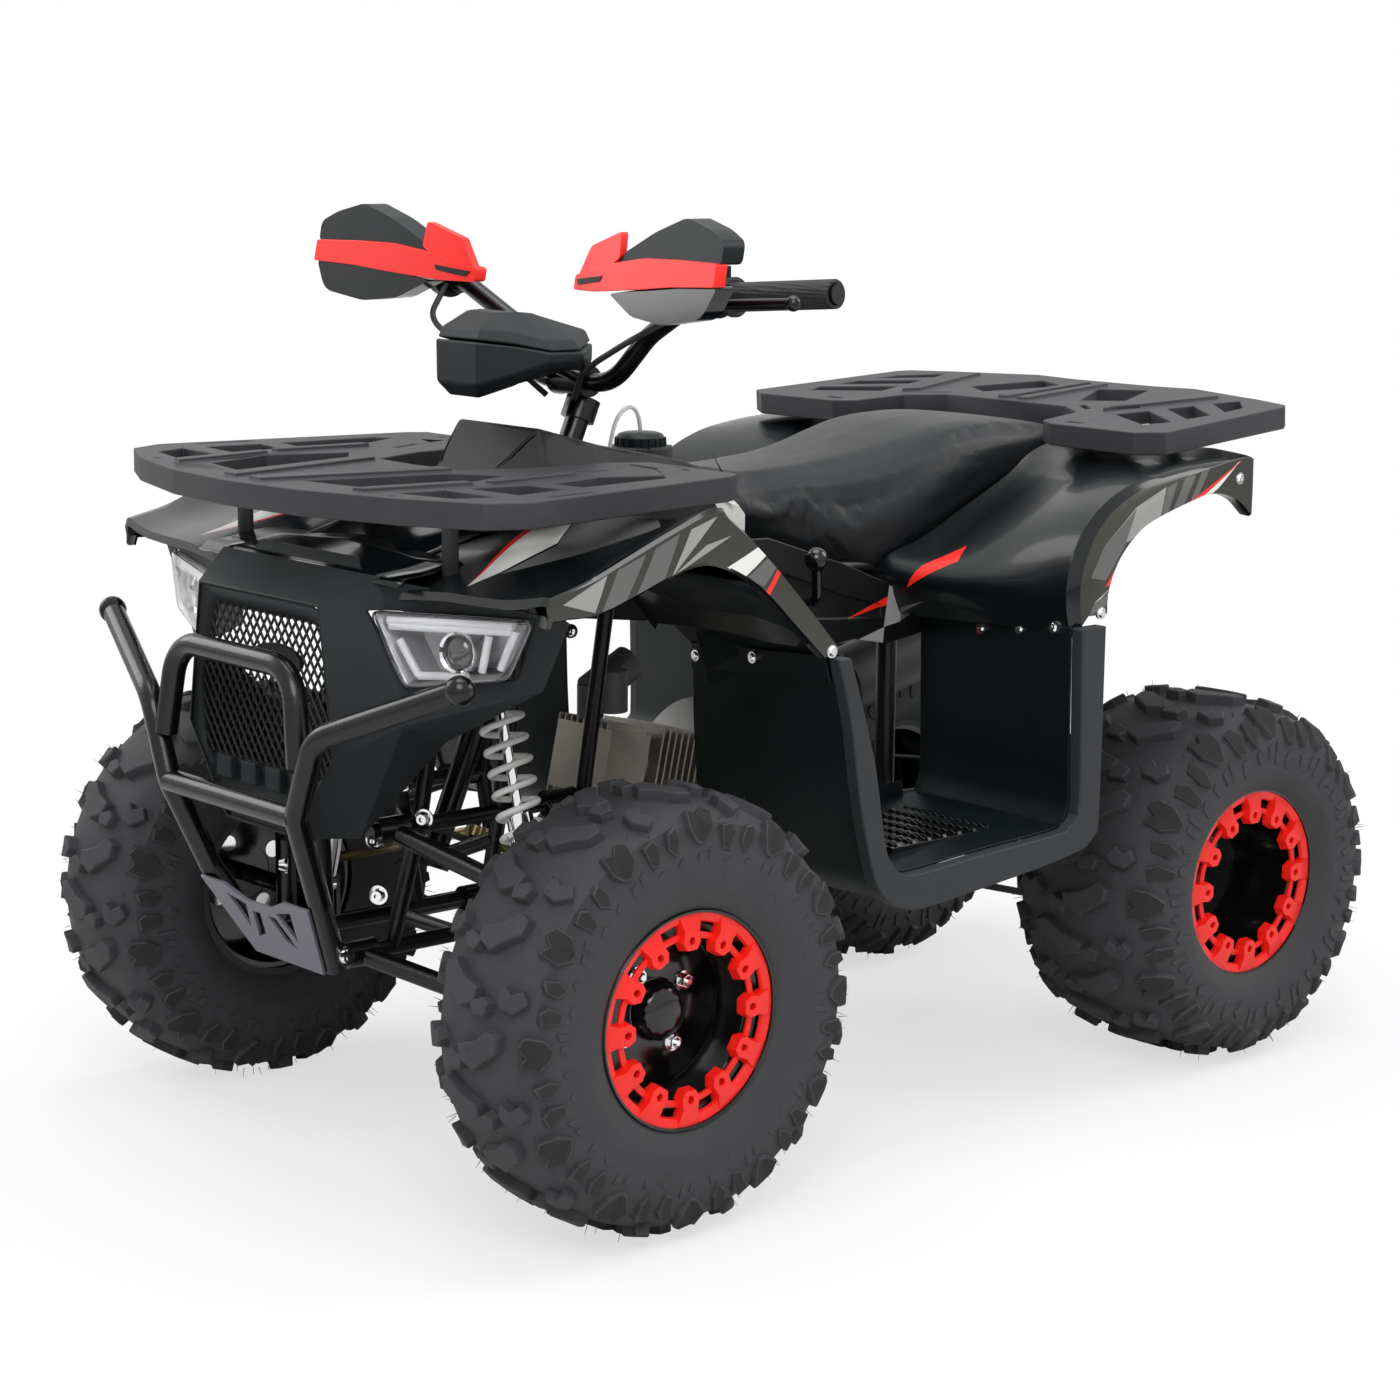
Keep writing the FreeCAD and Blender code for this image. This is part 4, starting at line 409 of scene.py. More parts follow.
def lathe(profile, centre=(0, 0, 0), axis=(1, 0, 0), steps=64):
    # a profile of (along, radius) pairs spun about an axis through the centre
    bm = bmesh.new()
    axis = Vector(axis).normalized()
    side = axis.orthogonal().normalized()
    edges = chain(bm, [axis * along + side * radius for along, radius in profile])
    verts = list({vert for edge in edges for vert in edge.verts})
    bmesh.ops.spin(bm, geom=verts + edges, cent=(0, 0, 0), axis=axis, dvec=(0, 0, 0), angle=math.tau,
                   steps=steps, use_merge=True)
    bmesh.ops.remove_doubles(bm, verts=bm.verts, dist=1e-5)
    bmesh.ops.translate(bm, verts=bm.verts, vec=Vector(centre) * mm)
    return bm


def absorb(bm, other):
    # takes in another bmesh's shapes and frees it
    mesh = bpy.data.meshes.new("absorbed")
    other.to_mesh(mesh)
    other.free()
    bm.from_mesh(mesh)
    bpy.data.meshes.remove(mesh)


def pipe(bm, points, radius):
    # a round bar along a smooth route, swept by a temporary curve
    curve = bpy.data.curves.new("route", "CURVE")
    curve.dimensions = "3D"
    curve.bevel_depth = radius * mm
    curve.bevel_resolution = 3
    curve.use_fill_caps = True
    curve.resolution_u = 6
    spline = curve.splines.new("NURBS")
    spline.points.add(len(points) - 1)
    for point, place in zip(spline.points, points):
        point.co = (*(Vector(place) * mm), 1)
    spline.order_u = 3
    spline.use_endpoint_u = True
    holder = bpy.data.objects.new("route", curve)
    bpy.context.collection.objects.link(holder)
    bpy.context.view_layer.update()
    mesh = bpy.data.meshes.new_from_object(holder)
    bm.from_mesh(mesh)
    bpy.data.objects.remove(holder)
    bpy.data.curves.remove(curve)
    bpy.data.meshes.remove(mesh)


def placePiece(name, bm, finish, body, slot, replaces=(), sharp=32):
    # makes the object from a bmesh that faces out already, with its place in its mesh
    mesh = bpy.data.meshes.new(name)
    bm.to_mesh(mesh)
    bm.free()
    mesh.shade_smooth()
    mesh.set_sharp_from_angle(angle=math.radians(sharp))
    piece = bpy.data.objects.new(name, mesh)
    bpy.context.collection.objects.link(piece)
    for item in finish if isinstance(finish, list) else [finish]:
        mesh.materials.append(item.material)
    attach(piece, body)
    if replaces:
        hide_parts(*replaces)
    return piece


def finishPiece(name, bm, finish, body, slot, replaces=(), sharp=32, merge=True):
    # the same for closed shapes, whose faces are turned out first
    if merge:
        bmesh.ops.remove_doubles(bm, verts=bm.verts, dist=2e-6)
    bmesh.ops.recalc_face_normals(bm, faces=bm.faces)
    return placePiece(name, bm, finish, body, slot, replaces, sharp)


def thicken(piece, thick, offset=-1.0):
    solid = piece.modifiers.new("wall", "SOLIDIFY")
    solid.thickness = thick * mm
    solid.offset = offset
    solid.use_even_offset = True


def soften(piece, width, segments=2, angle=30):
    edge = piece.modifiers.new("edges", "BEVEL")
    edge.width = width * mm
    edge.segments = segments
    edge.limit_method = "ANGLE"
    edge.angle_limit = math.radians(angle)
    edge.harden_normals = True


def smoothen(piece, levels=2):
    round_ = piece.modifiers.new("rounding", "SUBSURF")
    round_.levels = levels
    round_.render_levels = levels


def flip(bm):
    # turns a shape into its mirror image across the middle
    bmesh.ops.scale(bm, verts=bm.verts, vec=(-1, 1, 1))
    bmesh.ops.reverse_faces(bm, faces=bm.faces)


def addMirror(bm):
    # the same shapes on the other side of the middle
    copies = bmesh.ops.duplicate(bm, geom=parts(bm))["geom"]
    bmesh.ops.scale(bm, verts=only(copies, bmesh.types.BMVert), vec=(-1, 1, 1))
    bmesh.ops.reverse_faces(bm, faces=only(copies, bmesh.types.BMFace))


# Wheels

tyreValues = {
    "front": {"centre": (377, -468, 241), "stretch": 1.0,
              "profile": [(0, 230), (38, 228.5), (62, 223), (76, 211), (82, 192), (85, 168), (83, 146),
                          (78, 128), (73, 119), (67, 113), (66, 104)]},
    "rear": {"centre": (310, 501, 231), "stretch": 1.22,
             "profile": [(0, 220), (56, 218.5), (88, 213), (106, 201), (115, 184), (117.5, 162), (115, 142),
                         (108, 127), (100, 118), (92, 112), (91, 104)]},
    "pitches": 12, "steps": 96, "lugHeight": 11.5, "reliefHeight": 2.2, "blockTop": 0.88, "chamfer": 1.3,
    "hairs": 260, "hairRadius": 0.55, "hairTip": 0.2, "hairRoot": 3, "blockRoot": -4,
    "ribAt": 6, "rib": [(1.2, 1), (0.4, -3)], "hairLength": (4, 9), "hairLean": 2.5,
    "hairSpread": (6, 150, 70), "hairFeet": [(60, 9.5), (110, 5), (1000, 0)],  # how far out and how high
}

# one pitch of the tread: along the tyre and out from its middle, then height and whether the top is hatched
treadBlocks = [
    ([(-14, -12), (2, -14), (10, 14), (26, 36), (20, 50), (2, 48), (-10, 30), (-24, 12)], 1.0, False),
    ([(34, 8), (48, 2), (56, 22), (50, 32), (36, 28)], 1.0, False),
    ([(48, 44), (58, 38), (72, 46), (64, 56), (72, 66), (58, 74), (44, 62)], 0.95, False),
    ([(-10, 66), (2, 74), (14, 64), (26, 72), (24, 90), (8, 106), (-4, 104), (-16, 86)], 0.8, True),
    ([(36, 84), (52, 80), (60, 90), (54, 112), (40, 110)], 0.62, True),
    ([(74, 82), (88, 78), (92, 96), (82, 112), (70, 100)], 0.62, True),
]
treadReliefs = [
    [(0, 112), (12, 110), (10, 124), (-2, 128)], [(18, 108), (28, 104), (26, 128), (16, 132)],
    [(46, 120), (58, 116), (70, 124), (60, 126), (52, 138), (44, 130)],
    [(84, 118), (94, 112), (98, 126), (88, 130)],
]


class Tread:
    # lays flat shapes on the curved outside of a tyre

    def __init__(self, profile, stretch):
        self.runs = [(Vector(a), Vector(b)) for a, b in zip(profile, profile[1:])]
        self.stretch = stretch
        self.girth = profile[0][1]

    def lay(self, along, out, height):
        left = abs(out) * self.stretch
        for first, second in self.runs:
            run = second - first
            if left <= run.length or (first, second) == self.runs[-1]:
                break
            left -= run.length
        normal = Vector((-run.y, run.x)).normalized()
        spot = first + run.normalized() * left + normal * height
        turn = along / self.girth
        return Vector((math.copysign(spot.x, out) if out else 0, math.sin(turn) * spot.y,
                       math.cos(turn) * spot.y)) * mm


def addBlock(bm, tread, outline, height, hatched, side):
    # one rubber block with sloped walls and a chamfered top
    flat = bmesh.new()
    spread = flat.loops.layers.uv.new("UVMap")
    root = tyreValues["blockRoot"]
    base = flat.faces.new([flat.verts.new((along, out, root)) for along, out in outline])
    middle = base.calc_center_median()
    grown = bmesh.ops.extrude_face_region(flat, geom=[base])
    share = tyreValues["blockTop"]
    for vert in only(grown["geom"], bmesh.types.BMVert):
        vert.co = Vector((middle.x + (vert.co.x - middle.x) * share,
                          middle.y + (vert.co.y - middle.y) * share, height))
    lid = only(grown["geom"], bmesh.types.BMFace)[0]
    bmesh.ops.bevel(flat, geom=lid.edges[:], affect="EDGES", offset=min(tyreValues["chamfer"], height * 0.35),
                    segments=1, profile=0.5, material=-1)
    flat.faces.ensure_lookup_table()
    for face in flat.faces:
        if hatched and abs(face.normal.z) > 0.99 and face.calc_center_median().z > height * 0.8:
            face.material_index = 1
        for loop in face.loops:
            loop[spread].uv = (loop.vert.co.x * mm, loop.vert.co.y * mm)
    bmesh.ops.triangulate(flat, faces=[face for face in flat.faces if len(face.verts) > 4])
    for vert in flat.verts:
        vert.co = tread.lay(vert.co.x, vert.co.y * side, vert.co.z)
    absorb(bm, flat)


def makeTyre(end):
    values = {**tyreValues, **tyreValues[end]}
    profile = values["profile"]
    tread = Tread(profile, values["stretch"])
    bm = bmesh.new()
    bm.loops.layers.uv.new("UVMap")
    turn = math.tau / values["pitches"]
    for side in (1, -1):
        shift = 0 if side == 1 else turn * tread.girth / 2
        blocks = [(outline, values["lugHeight"] * share, hatched) for outline, share, hatched in treadBlocks]
        blocks += [(outline, values["reliefHeight"], False) for outline in treadReliefs]
        for outline, height, hatched in blocks:
            addBlock(bm, tread, [(along + shift, out) for along, out in outline], height, hatched, side)
    bmesh.ops.recalc_face_normals(bm, faces=bm.faces)
    bmesh.ops.spin(bm, geom=parts(bm), cent=(0, 0, 0), axis=(1, 0, 0), dvec=(0, 0, 0), angle=math.tau - turn,
                   steps=values["pitches"] - 1, use_duplicate=True)
    at = values["ribAt"]
    x, r = profile[at]
    ribbed = profile[:at] + [(x + out, r + up) for out, up in values["rib"]] + profile[at + 1:]
    absorb(bm, lathe([(-x, r) for x, r in reversed(ribbed)][:-1] + ribbed, steps=values["steps"]))
    for _ in range(values["hairs"]):
        along = random.uniform(0, math.tau) * tread.girth
        out = random.choice((-1, 1)) * random.triangular(*values["hairSpread"])
        lift = next(height for reach, height in values["hairFeet"] if abs(out) < reach)
        foot = tread.lay(along, out, lift - values["hairRoot"])
        tip = tread.lay(along, out, lift + random.uniform(*values["hairLength"]))
        tip += Vector([random.uniform(-values["hairLean"], values["hairLean"]) * mm for _ in range(3)])
        cylinder(bm, foot / mm, tip / mm, values["hairRadius"], 3, values["hairTip"])
    return bm


rimValues = {
    "front": {"ringAt": 72.5, "discAt": 12, "capRadius": 33, "capHeight": 24, "hubBack": -58,
              "lip": [(74, 119), (75.5, 118), (75, 115.5), (70, 114), (61, 112), (58, 105), (50, 96),
                      (20, 94), (12, 90)]},
    "rear": {"ringAt": 96.7, "discAt": -8, "capRadius": 24, "capHeight": 10, "hubBack": -80,
             "lip": [(98, 119), (99.5, 118), (99, 115.5), (94, 114), (85, 112), (82, 105), (74, 96), (0, 94),
                     (-8, 90)]},
    "disc": [(0, 82), (3, 66), (2, 40), (2, 0.5)],  # along from the disc, and radius
    "barrel": [(0, 98), (-4, 112), (-2, 118)],  # along from the hub's back, and radius
    "barrelFront": (-24, 97),  # along from the ring, and radius
    "flange": [(1, 1.5), (3, 1.5), (3.5, 0)],  # along from the disc, and how much wider than the cap
    "cap": [(0.55, 0.96), (0.86, 0.78), (1, 0.45)],  # shares of the cap's height and radius
    "capFoot": 3, "capPeak": (1.02, 0.3),
    "bolts": 4, "boltTurn": 0.35, "boltCircle": 47, "boltRadius": 7.5,
    "bolt": [  # from, to, how much wider at both ends, sides
        (1, 4.5, 3, 3, 20), (4.5, 11, 0, 0, 6), (11, 14, -2, -4.5, 16)],
}


def makeRim(end):
    values = {**rimValues, **rimValues[end]}
    disc, back, radius, height = (values[key] for key in ("discAt", "hubBack", "capRadius", "capHeight"))
    bm = lathe(values["lip"] + [(disc + along, r) for along, r in values["disc"]], steps=72)
    inward, width = values["barrelFront"]
    barrel = [(values["ringAt"] + inward, width)] + [(back + along, r) for along, r in values["barrel"]]
    absorb(bm, lathe(barrel, steps=72))
    flange = [(disc + along, radius + wider) for along, wider in values["flange"]]
    foot = disc + values["capFoot"]
    dome = [(foot + height * up, radius * wide) for up, wide in values["cap"]]
    up, tip = values["capPeak"]
    absorb(bm, lathe(flange + dome + [(foot + height * up, tip)], steps=40))
    return bm


def makeWheelBolts(end):
    # hub bolts with their washers
    disc, radius = rimValues[end]["discAt"], rimValues["boltRadius"]
    bm = bmesh.new()
    for index in range(rimValues["bolts"]):
        turn = math.tau * (index + rimValues["boltTurn"]) / rimValues["bolts"]
        y, z = (rimValues["boltCircle"] * f(turn) for f in (math.cos, math.sin))
        for start, stop, wide, tip, sides in rimValues["bolt"]:
            cylinder(bm, (disc + start, y, z), (disc + stop, y, z), radius + wide, sides, radius + tip)
    return bm


ringValues = {  # along from the ring's face, and radius
    "band": [(-8, 117), (-1, 116.5), (0, 115), (-2, 106), (-6, 104), (-9, 106), (-8, 117)],
    "hoop": [(-9, 93.5), (-5, 94), (-3.5, 90), (-5, 86.5), (-9, 87), (-9, 93.5)],
    "bosses": 12,
    "boss": [(-19, 115.5), (19, 115.5), (12, 96), (14, 84), (8, 74), (-8, 74), (-14, 84), (-12, 96)],
    "pocket": [(-9, 111), (9, 111), (6, 100), (-6, 100)], "pocketAt": -0.7, "pocketDepth": 1.4,
    "depth": 10, "holeAt": 86, "holeRadius": 5,
    "raised": 97, "lift": 3.2, "sunk": -0.5, "taper": 0.84, "tipBelow": 80, "tipIn": 2,
}


def makeRing(end):
    # the bead ring: a sloped outer band, a thin inner hoop and bosses with screw holes
    at, values = rimValues[end]["ringAt"], ringValues
    bm = lathe([(at + along, r) for along, r in values["band"]], steps=96)
    absorb(bm, lathe([(at + along, r) for along, r in values["hoop"]], steps=96))
    boss = bmesh.new()
    back, radius = at - values["depth"], values["holeRadius"]
    turns = [math.tau * i / 6 for i in range(6)]
    hole = [(back, radius * math.cos(turn), values["holeAt"] + radius * math.sin(turn)) for turn in turns]
    sheet(boss, [(back, u, v) for u, v in values["boss"]], [hole], (values["depth"], 0, 0))
    bmesh.ops.recalc_face_normals(boss, faces=boss.faces)
    for vert in boss.verts:
        out = vert.co.z / mm
        if vert.co.x / mm > at - 1:
            vert.co.x += (values["lift"] if out < values["raised"] else values["sunk"]) * mm
            vert.co.y *= values["taper"]
            if out < values["tipBelow"]:
                vert.co.z += values["tipIn"] * mm
    sheet(boss, [(at + values["pocketAt"], u, v) for u, v in values["pocket"]], (),
          (values["pocketDepth"], 0, 0))
    others = values["bosses"] - 1
    bmesh.ops.spin(boss, geom=parts(boss), cent=(0, 0, 0), axis=(1, 0, 0), dvec=(0, 0, 0),
                   angle=math.tau * others / values["bosses"], steps=others, use_duplicate=True)
    absorb(bm, boss)
    return bm


def atWheel(bm, centre, side):
    # a copy moved from the origin to its wheel, where rubber hairs bend at the floor and the sides
    made = bm.copy()
    bmesh.ops.translate(made, verts=made.verts, vec=Vector(centre) * mm)
    if side == "right":
        flip(made)
    for vert in made.verts:
        vert.co = [min(max(place, low), high) for place, low, high in zip(vert.co, *cadBox)]
    return made


wheelLayers = [  # piece, maker, finishes, slot, node, sharp angle
    ("tyre_dressed", makeTyre, ("tyre", "tyreHatch"), "tyre_rubber", "tyre", 28),
    ("rim_dressed", makeRim, ("rim",), "rim_black", "rim", 40),
    ("ring_dressed", makeRing, ("ring",), "ring_orange", "bead_ring", 30),
    ("wheel_bolts", makeWheelBolts, ("chrome",), "shock_steel", None, 32),
]
for end in ("front", "rear"):
    for layer, make, kinds, slot, node, sharp in wheelLayers:
        shape = make(end)
        for side in ("left", "right"):
            placed = atWheel(shape, tyreValues[end]["centre"], side)
            body = f"front_wheel_{side}" if end == "front" else "rear_axle"
            piece = finishPiece(f"{end}_{layer}_{side}", placed, [finishes[kind] for kind in kinds], body,
                                slot, [f"{end}_{node}_{side}"] if node else (), sharp, merge=False)
            if node == "bead_ring":
                soften(piece, 0.7, 2, 35)
        shape.free()
print("wheels ready")

# Bodywork

slotOf = {entry["node"]: entry["material_slot"] for entry in frame["record"]["subparts"]}
bodyOf = {node: body for body, members in frame["record"]["behaviour"]["bodies"].items() for node in members}


def spaced(points, count):
    # points evenly spaced along a smooth line through the given ones
    knots = [Vector(point) for point in points]
    ends = [knots[0] * 2 - knots[1]] + knots + [knots[-1] * 2 - knots[-2]]
    line = []
    for before, first, second, after in zip(ends, ends[1:], ends[2:], ends[3:]):
        for step in range(12):
            t = step / 12
            leave, arrive = t - 2 * t * t + t ** 3, t ** 3 - t * t
            line.append(first * (1 - 3 * t * t + 2 * t ** 3) + second * (3 * t * t - 2 * t ** 3)
                        + (second - before) * 0.5 * leave + (after - first) * 0.5 * arrive)
    line.append(knots[-1])
    runs = [0]
    for first, second in zip(line, line[1:]):
        runs.append(runs[-1] + (second - first).length)
    made = []
    at = 0
    for step in range(count):
        want = runs[-1] * step / (count - 1)
        while at < len(runs) - 2 and runs[at + 1] < want:
            at += 1
        share = (want - runs[at]) / max(1e-9, runs[at + 1] - runs[at])
        made.append(line[at].lerp(line[at + 1], share))
    return made


def dressed(node, finish, width):
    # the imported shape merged, with its edges rounded off
    bm = bmesh.new()
    bm.from_mesh(nodes[node].data)
    bmesh.ops.transform(bm, matrix=nodes[node].matrix_world, verts=bm.verts)
    bmesh.ops.remove_doubles(bm, verts=bm.verts, dist=2e-5)
    bmesh.ops.dissolve_degenerate(bm, edges=bm.edges, dist=2e-6)
    bmesh.ops.join_triangles(bm, faces=bm.faces, angle_face_threshold=0.01, angle_shape_threshold=3.0)
    piece = finishPiece(f"{node}_dressed", bm, finish, bodyOf[node], slotOf[node], [node], 30, merge=False)
    soften(piece, width)
    piece.modifiers["edges"].use_clamp_overlap = False


def facing(bm, direction):
    # turns an open skin so that it faces a direction on the whole
    bmesh.ops.recalc_face_normals(bm, faces=bm.faces)
    total = sum((face.normal * face.calc_area() for face in bm.faces), Vector())
    if total.dot(Vector(direction)) < 0:
        bmesh.ops.reverse_faces(bm, faces=bm.faces)


screwShape = {  # heights in millimetres, widths as shares of the head's radius
    "root": 2, "washer": 0.9, "washerShare": 1.35, "domeShare": 0.72, "recess": (-0.1, 0.25),
    "recessShares": (0.42, 0.3),
}


def addScrew(bm, place, normal, radius, height=3.5):
    # a washer and a domed head with a hexagon recess
    normal = Vector(normal).normalized()
    place = Vector(place)
    washer = place + normal * screwShape["washer"]
    cylinder(bm, place - normal * screwShape["root"], washer, radius * screwShape["washerShare"], 20)
    cylinder(bm, washer, place + normal * height, radius, 16, radius * screwShape["domeShare"])
    low, high = (place + normal * (height + step) for step in screwShape["recess"])
    wide, narrow = screwShape["recessShares"]
    cylinder(bm, low, high, radius * wide, 6, radius * narrow)


red = (0.86, 0.022, 0.012)
silver = (0.3, 0.3, 0.29)
grey = (0.12, 0.12, 0.118)
white = (0.78, 0.78, 0.75)

fenderValues = {
    "steps": 44, "wall": 3.0, "bandFrom": 400, "topTo": 394, "ground": (0.035, 0.034, 0.028, 1),
}
frontFenderValues = {
    "lines": {
        "side": [(-638, 669), (-606, 681), (-556, 699), (-503, 712), (-450, 723), (-394, 730), (-362, 721),
                 (-320, 690), (-270, 642), (-230, 597)],
        "dip": [(-627, 684), (-600, 690), (-560, 699), (-506, 715), (-450, 732), (-394, 747), (-370, 737),
                (-324, 697), (-268, 645), (-222, 598)],
        "ridge": [(-618, 695), (-565, 707), (-510, 728), (-453, 750), (-394, 769), (-375, 757), (-328, 718),
                  (-269, 660), (-217, 605)],
        "arch": [(-613, 670), (-556, 670), (-510, 682), (-462, 698), (-407, 709), (-355, 691), (-322, 669),
                 (-288, 638), (-239, 593)],
    },
    "rows": [  # x, the two lines it runs between, the share of the second and its lift
        (110, "side", "side", 0, -9), (116, "side", "side", 0, 0), (150, "side", "dip", 0.12, 2),
        (200, "side", "dip", 0.42, 4), (250, "side", "dip", 0.75, 3), (300, "side", "dip", 1, 0),
        (340, "dip", "ridge", 0.26, -1), (370, "dip", "ridge", 0.62, -1), (390, "dip", "ridge", 0.93, 0),
        (398, "ridge", "ridge", 0, 0), (402.4, "ridge", "arch", 0.07, 0), (403, "ridge", "arch", 0.5, 0),
        (402.4, "ridge", "arch", 0.93, 0), (399, "ridge", "arch", 1, 0), (386, "ridge", "arch", 1, 2)],
    "lip": (-3, -9),
    "band": [
        (silver, [(-601, 686), (-543, 711), (-559, 674)]),
        (grey, [(-529, 715), (-492, 728), (-518, 682), (-551, 671)]),
        (grey, [(-479, 733), (-446, 746), (-468, 697), (-505, 685)]),
        (silver, [(-431, 749), (-395, 760), (-457, 701)]),
        (silver, [(-410, 731), (-362, 741), (-435, 711), (-457, 701)]),
        (white, [(-380, 705), (-337, 723), (-324, 714), (-356, 692)]),
        (grey, [(-353, 691), (-322, 711), (-310, 700), (-328, 680)]),
        (red, [(-326, 673), (-308, 698), (-304, 693), (-320, 670)])],
    "top": [
        (grey, [(259, -570), (255, -490), (297, -505)]), (grey, [(255, -490), (121, -317), (305, -394)]),
        (grey, [(305, -394), (347, -425), (297, -505), (255, -490)]),
        (red, [(255, -609), (152, -448), (149, -418)]),
        (white, [(255, -609), (149, -418), (121, -319), (250, -486), (255, -566)])],
    "topPlane": "xy", "topRoughness": 0.22,
}
rearFenderValues = {
    "lines": {
        "inside": [(126, 570), (115, 596), (111, 618), (126, 634), (176, 648), (232, 672), (330, 717),
                   (378, 745), (449, 758), (545, 754)],
        "ridge": [(169, 572), (160, 622), (171, 675), (205, 717), (264, 745), (332, 758), (400, 764),
                  (478, 768)],
        "rim": [(186, 598), (188, 630), (194, 656), (231, 707), (304, 740), (373, 754), (455, 767),
                (478, 764)],
        "arch": [(220, 598), (222, 626), (240, 661), (273, 690), (306, 704), (368, 720), (403, 726),
                 (447, 716), (478, 693)],
    },
    "rows": [
        (112, "inside", "inside", 0, 4), (132, "inside", "inside", 0, 14), (150, "inside", "inside", 0, 8),
        (185, "inside", "ridge", 0.12, 6), (235, "inside", "ridge", 0.36, 5),
        (285, "inside", "ridge", 0.6, 6), (330, "inside", "ridge", 0.8, 5),
        (368, "inside", "ridge", 0.94, 2), (390, "ridge", "ridge", 0, 0), (399, "ridge", "rim", 0.5, 0),
        (402.6, "rim", "rim", 0, 0), (403, "rim", "arch", 0.5, 0), (402.6, "rim", "arch", 0.96, 0),
        (398, "rim", "arch", 1, 0), (384, "rim", "arch", 1, 1)],
    "lip": (0, 0),
    "band": [
        (silver, [(209, 678), (265, 721), (317, 741), (308, 706), (254, 681)]),
        (grey, [(188, 643), (209, 678), (245, 675), (214, 638)]),
        (grey, [(209, 678), (265, 719), (245, 675)]),
        (grey, [(319, 740), (337, 746), (321, 708), (308, 705)]),
        (grey, [(351, 749), (371, 753), (349, 716), (329, 710)]),
        (grey, [(381, 755), (396, 759), (376, 727), (361, 720)]),
        (white, [(371, 718), (453, 764), (413, 733), (390, 721)]),
        (red, [(349, 714), (458, 765), (373, 718)]),
        (red, [(214, 631), (240, 662), (232, 641), (221, 631)]),
        (white, [(195, 613), (224, 629), (203, 616)]),
        (grey, [(187, 598), (195, 613), (221, 624), (219, 609)])],
    "top": [
        (red, [(172, 611), (186, 640), (212, 662), (226, 647)]),
        (grey, [(154, 584), (194, 597), (230, 614), (150, 573)])],
    "topPlane": "xz", "topRoughness": 0.34,
}


def decalled(name, plane, stripes, ground=None, roughness=0.22):
    # glossy plastic with printed shapes under the gloss
    finish = painted(name, (0.0018, 0.0033, 0.0042), roughness, 0.00004, Specular_IOR_Level=0.35,
                     Coat_Weight=0.2, Coat_Roughness=0.05)
    return finish.stripes(plane, stripes, ground) if stripes else finish


def makeFender(name, values, node):
    spread = {}
    for key, line in values["lines"].items():
        spread[key] = spaced([(0, y, z) for y, z in line], fenderValues["steps"])
    rows = []
    for x, first, second, share, lift in values["rows"]:
        row = [a.lerp(b, share) + Vector((0, 0, lift)) for a, b in zip(spread[first], spread[second])]
        front = row[0] + Vector((0, *values["lip"]))
        rows.append([(x, point.y, point.z) for point in ([front] if any(values["lip"]) else []) + row])
    base = skin(rows)
    facing(base, (0, 0, 1))
    for face in base.faces:
        middle = face.calc_center_median() / mm
        if middle.x > fenderValues["bandFrom"] and abs(face.normal.x) > 0.7:
            face.material_index = 1
        elif middle.x < fenderValues["topTo"] and (face.normal.z > 0.3 or values["topPlane"] == "xz"):
            face.material_index = 2
    for side, way in (("left", 1), ("right", -1)):
        made = base.copy()
        if side == "right":
            flip(made)
        top = [(shade, [(x * way, y) for x, y in corners]) for shade, corners in values["top"]]
        kinds = [
            finishes["gloss"],
            decalled(f"{name}_band_{side}", "yz", values["band"], fenderValues["ground"], 0.3),
            decalled(f"{name}_top_{side}", values["topPlane"], top, None, values["topRoughness"])]
        piece = placePiece(f"{name}_{side}", made, kinds, "chassis", "gloss_black", [f"{node}_{side}"], 34)
        thicken(piece, fenderValues["wall"])
        soften(piece, 0.9, 2, 40)
    base.free()


makeFender("front_fender_skin", frontFenderValues, "front_fender")
makeFender("rear_fender_skin", rearFenderValues, "rear_fender")

panelStripes = [
    (red, [(136, 607), (166, 626), (230, 645), (218, 626)]),
    (silver, [(108, 612), (130, 606), (128, 566), (100, 562)]),
    (silver, [(58, 551), (101, 562), (99, 541)]), (grey, [(131, 580), (209, 596), (128, 567)]),
    (red, [(39, 577), (105, 599), (105, 589)]),
]
panelFinish = grained("panel_plastic", (0.003, 0.0035, 0.004), 0.34, 1500, 0.00006, Specular_IOR_Level=0.3)
panelFinish.stripes("yz", panelStripes)
cowlFinish = grained("cowl_plastic", (0.014, 0.0145, 0.0155), 0.52, 1300, 0.0002, Specular_IOR_Level=0.26)
cowlFinish.stripes("yz", [(white, [(-131, 725), (-105, 732), (-75, 699), (-69, 679), (-122, 712)])])
lensRed = Finish("lens_red", (0.42, 0.008, 0.006), 0.12, Coat_Weight=0.6, Coat_Roughness=0.04)
lensRed.feed("Normal", lensRed.bump(lensRed.maths("SINE", lensRed.along((900.0, 0, 0))), 0.0004))
gripFinish = rubberFinish("grip_rubber", (0.02, 0.02, 0.021), 0.6)
dimples = gripFinish.node("TexVoronoi", None, {"Vector": gripFinish.place, "Scale": 240.0, "Randomness": 0.0})
gripFinish.feed("Normal", gripFinish.bump(dimples, 0.0016))

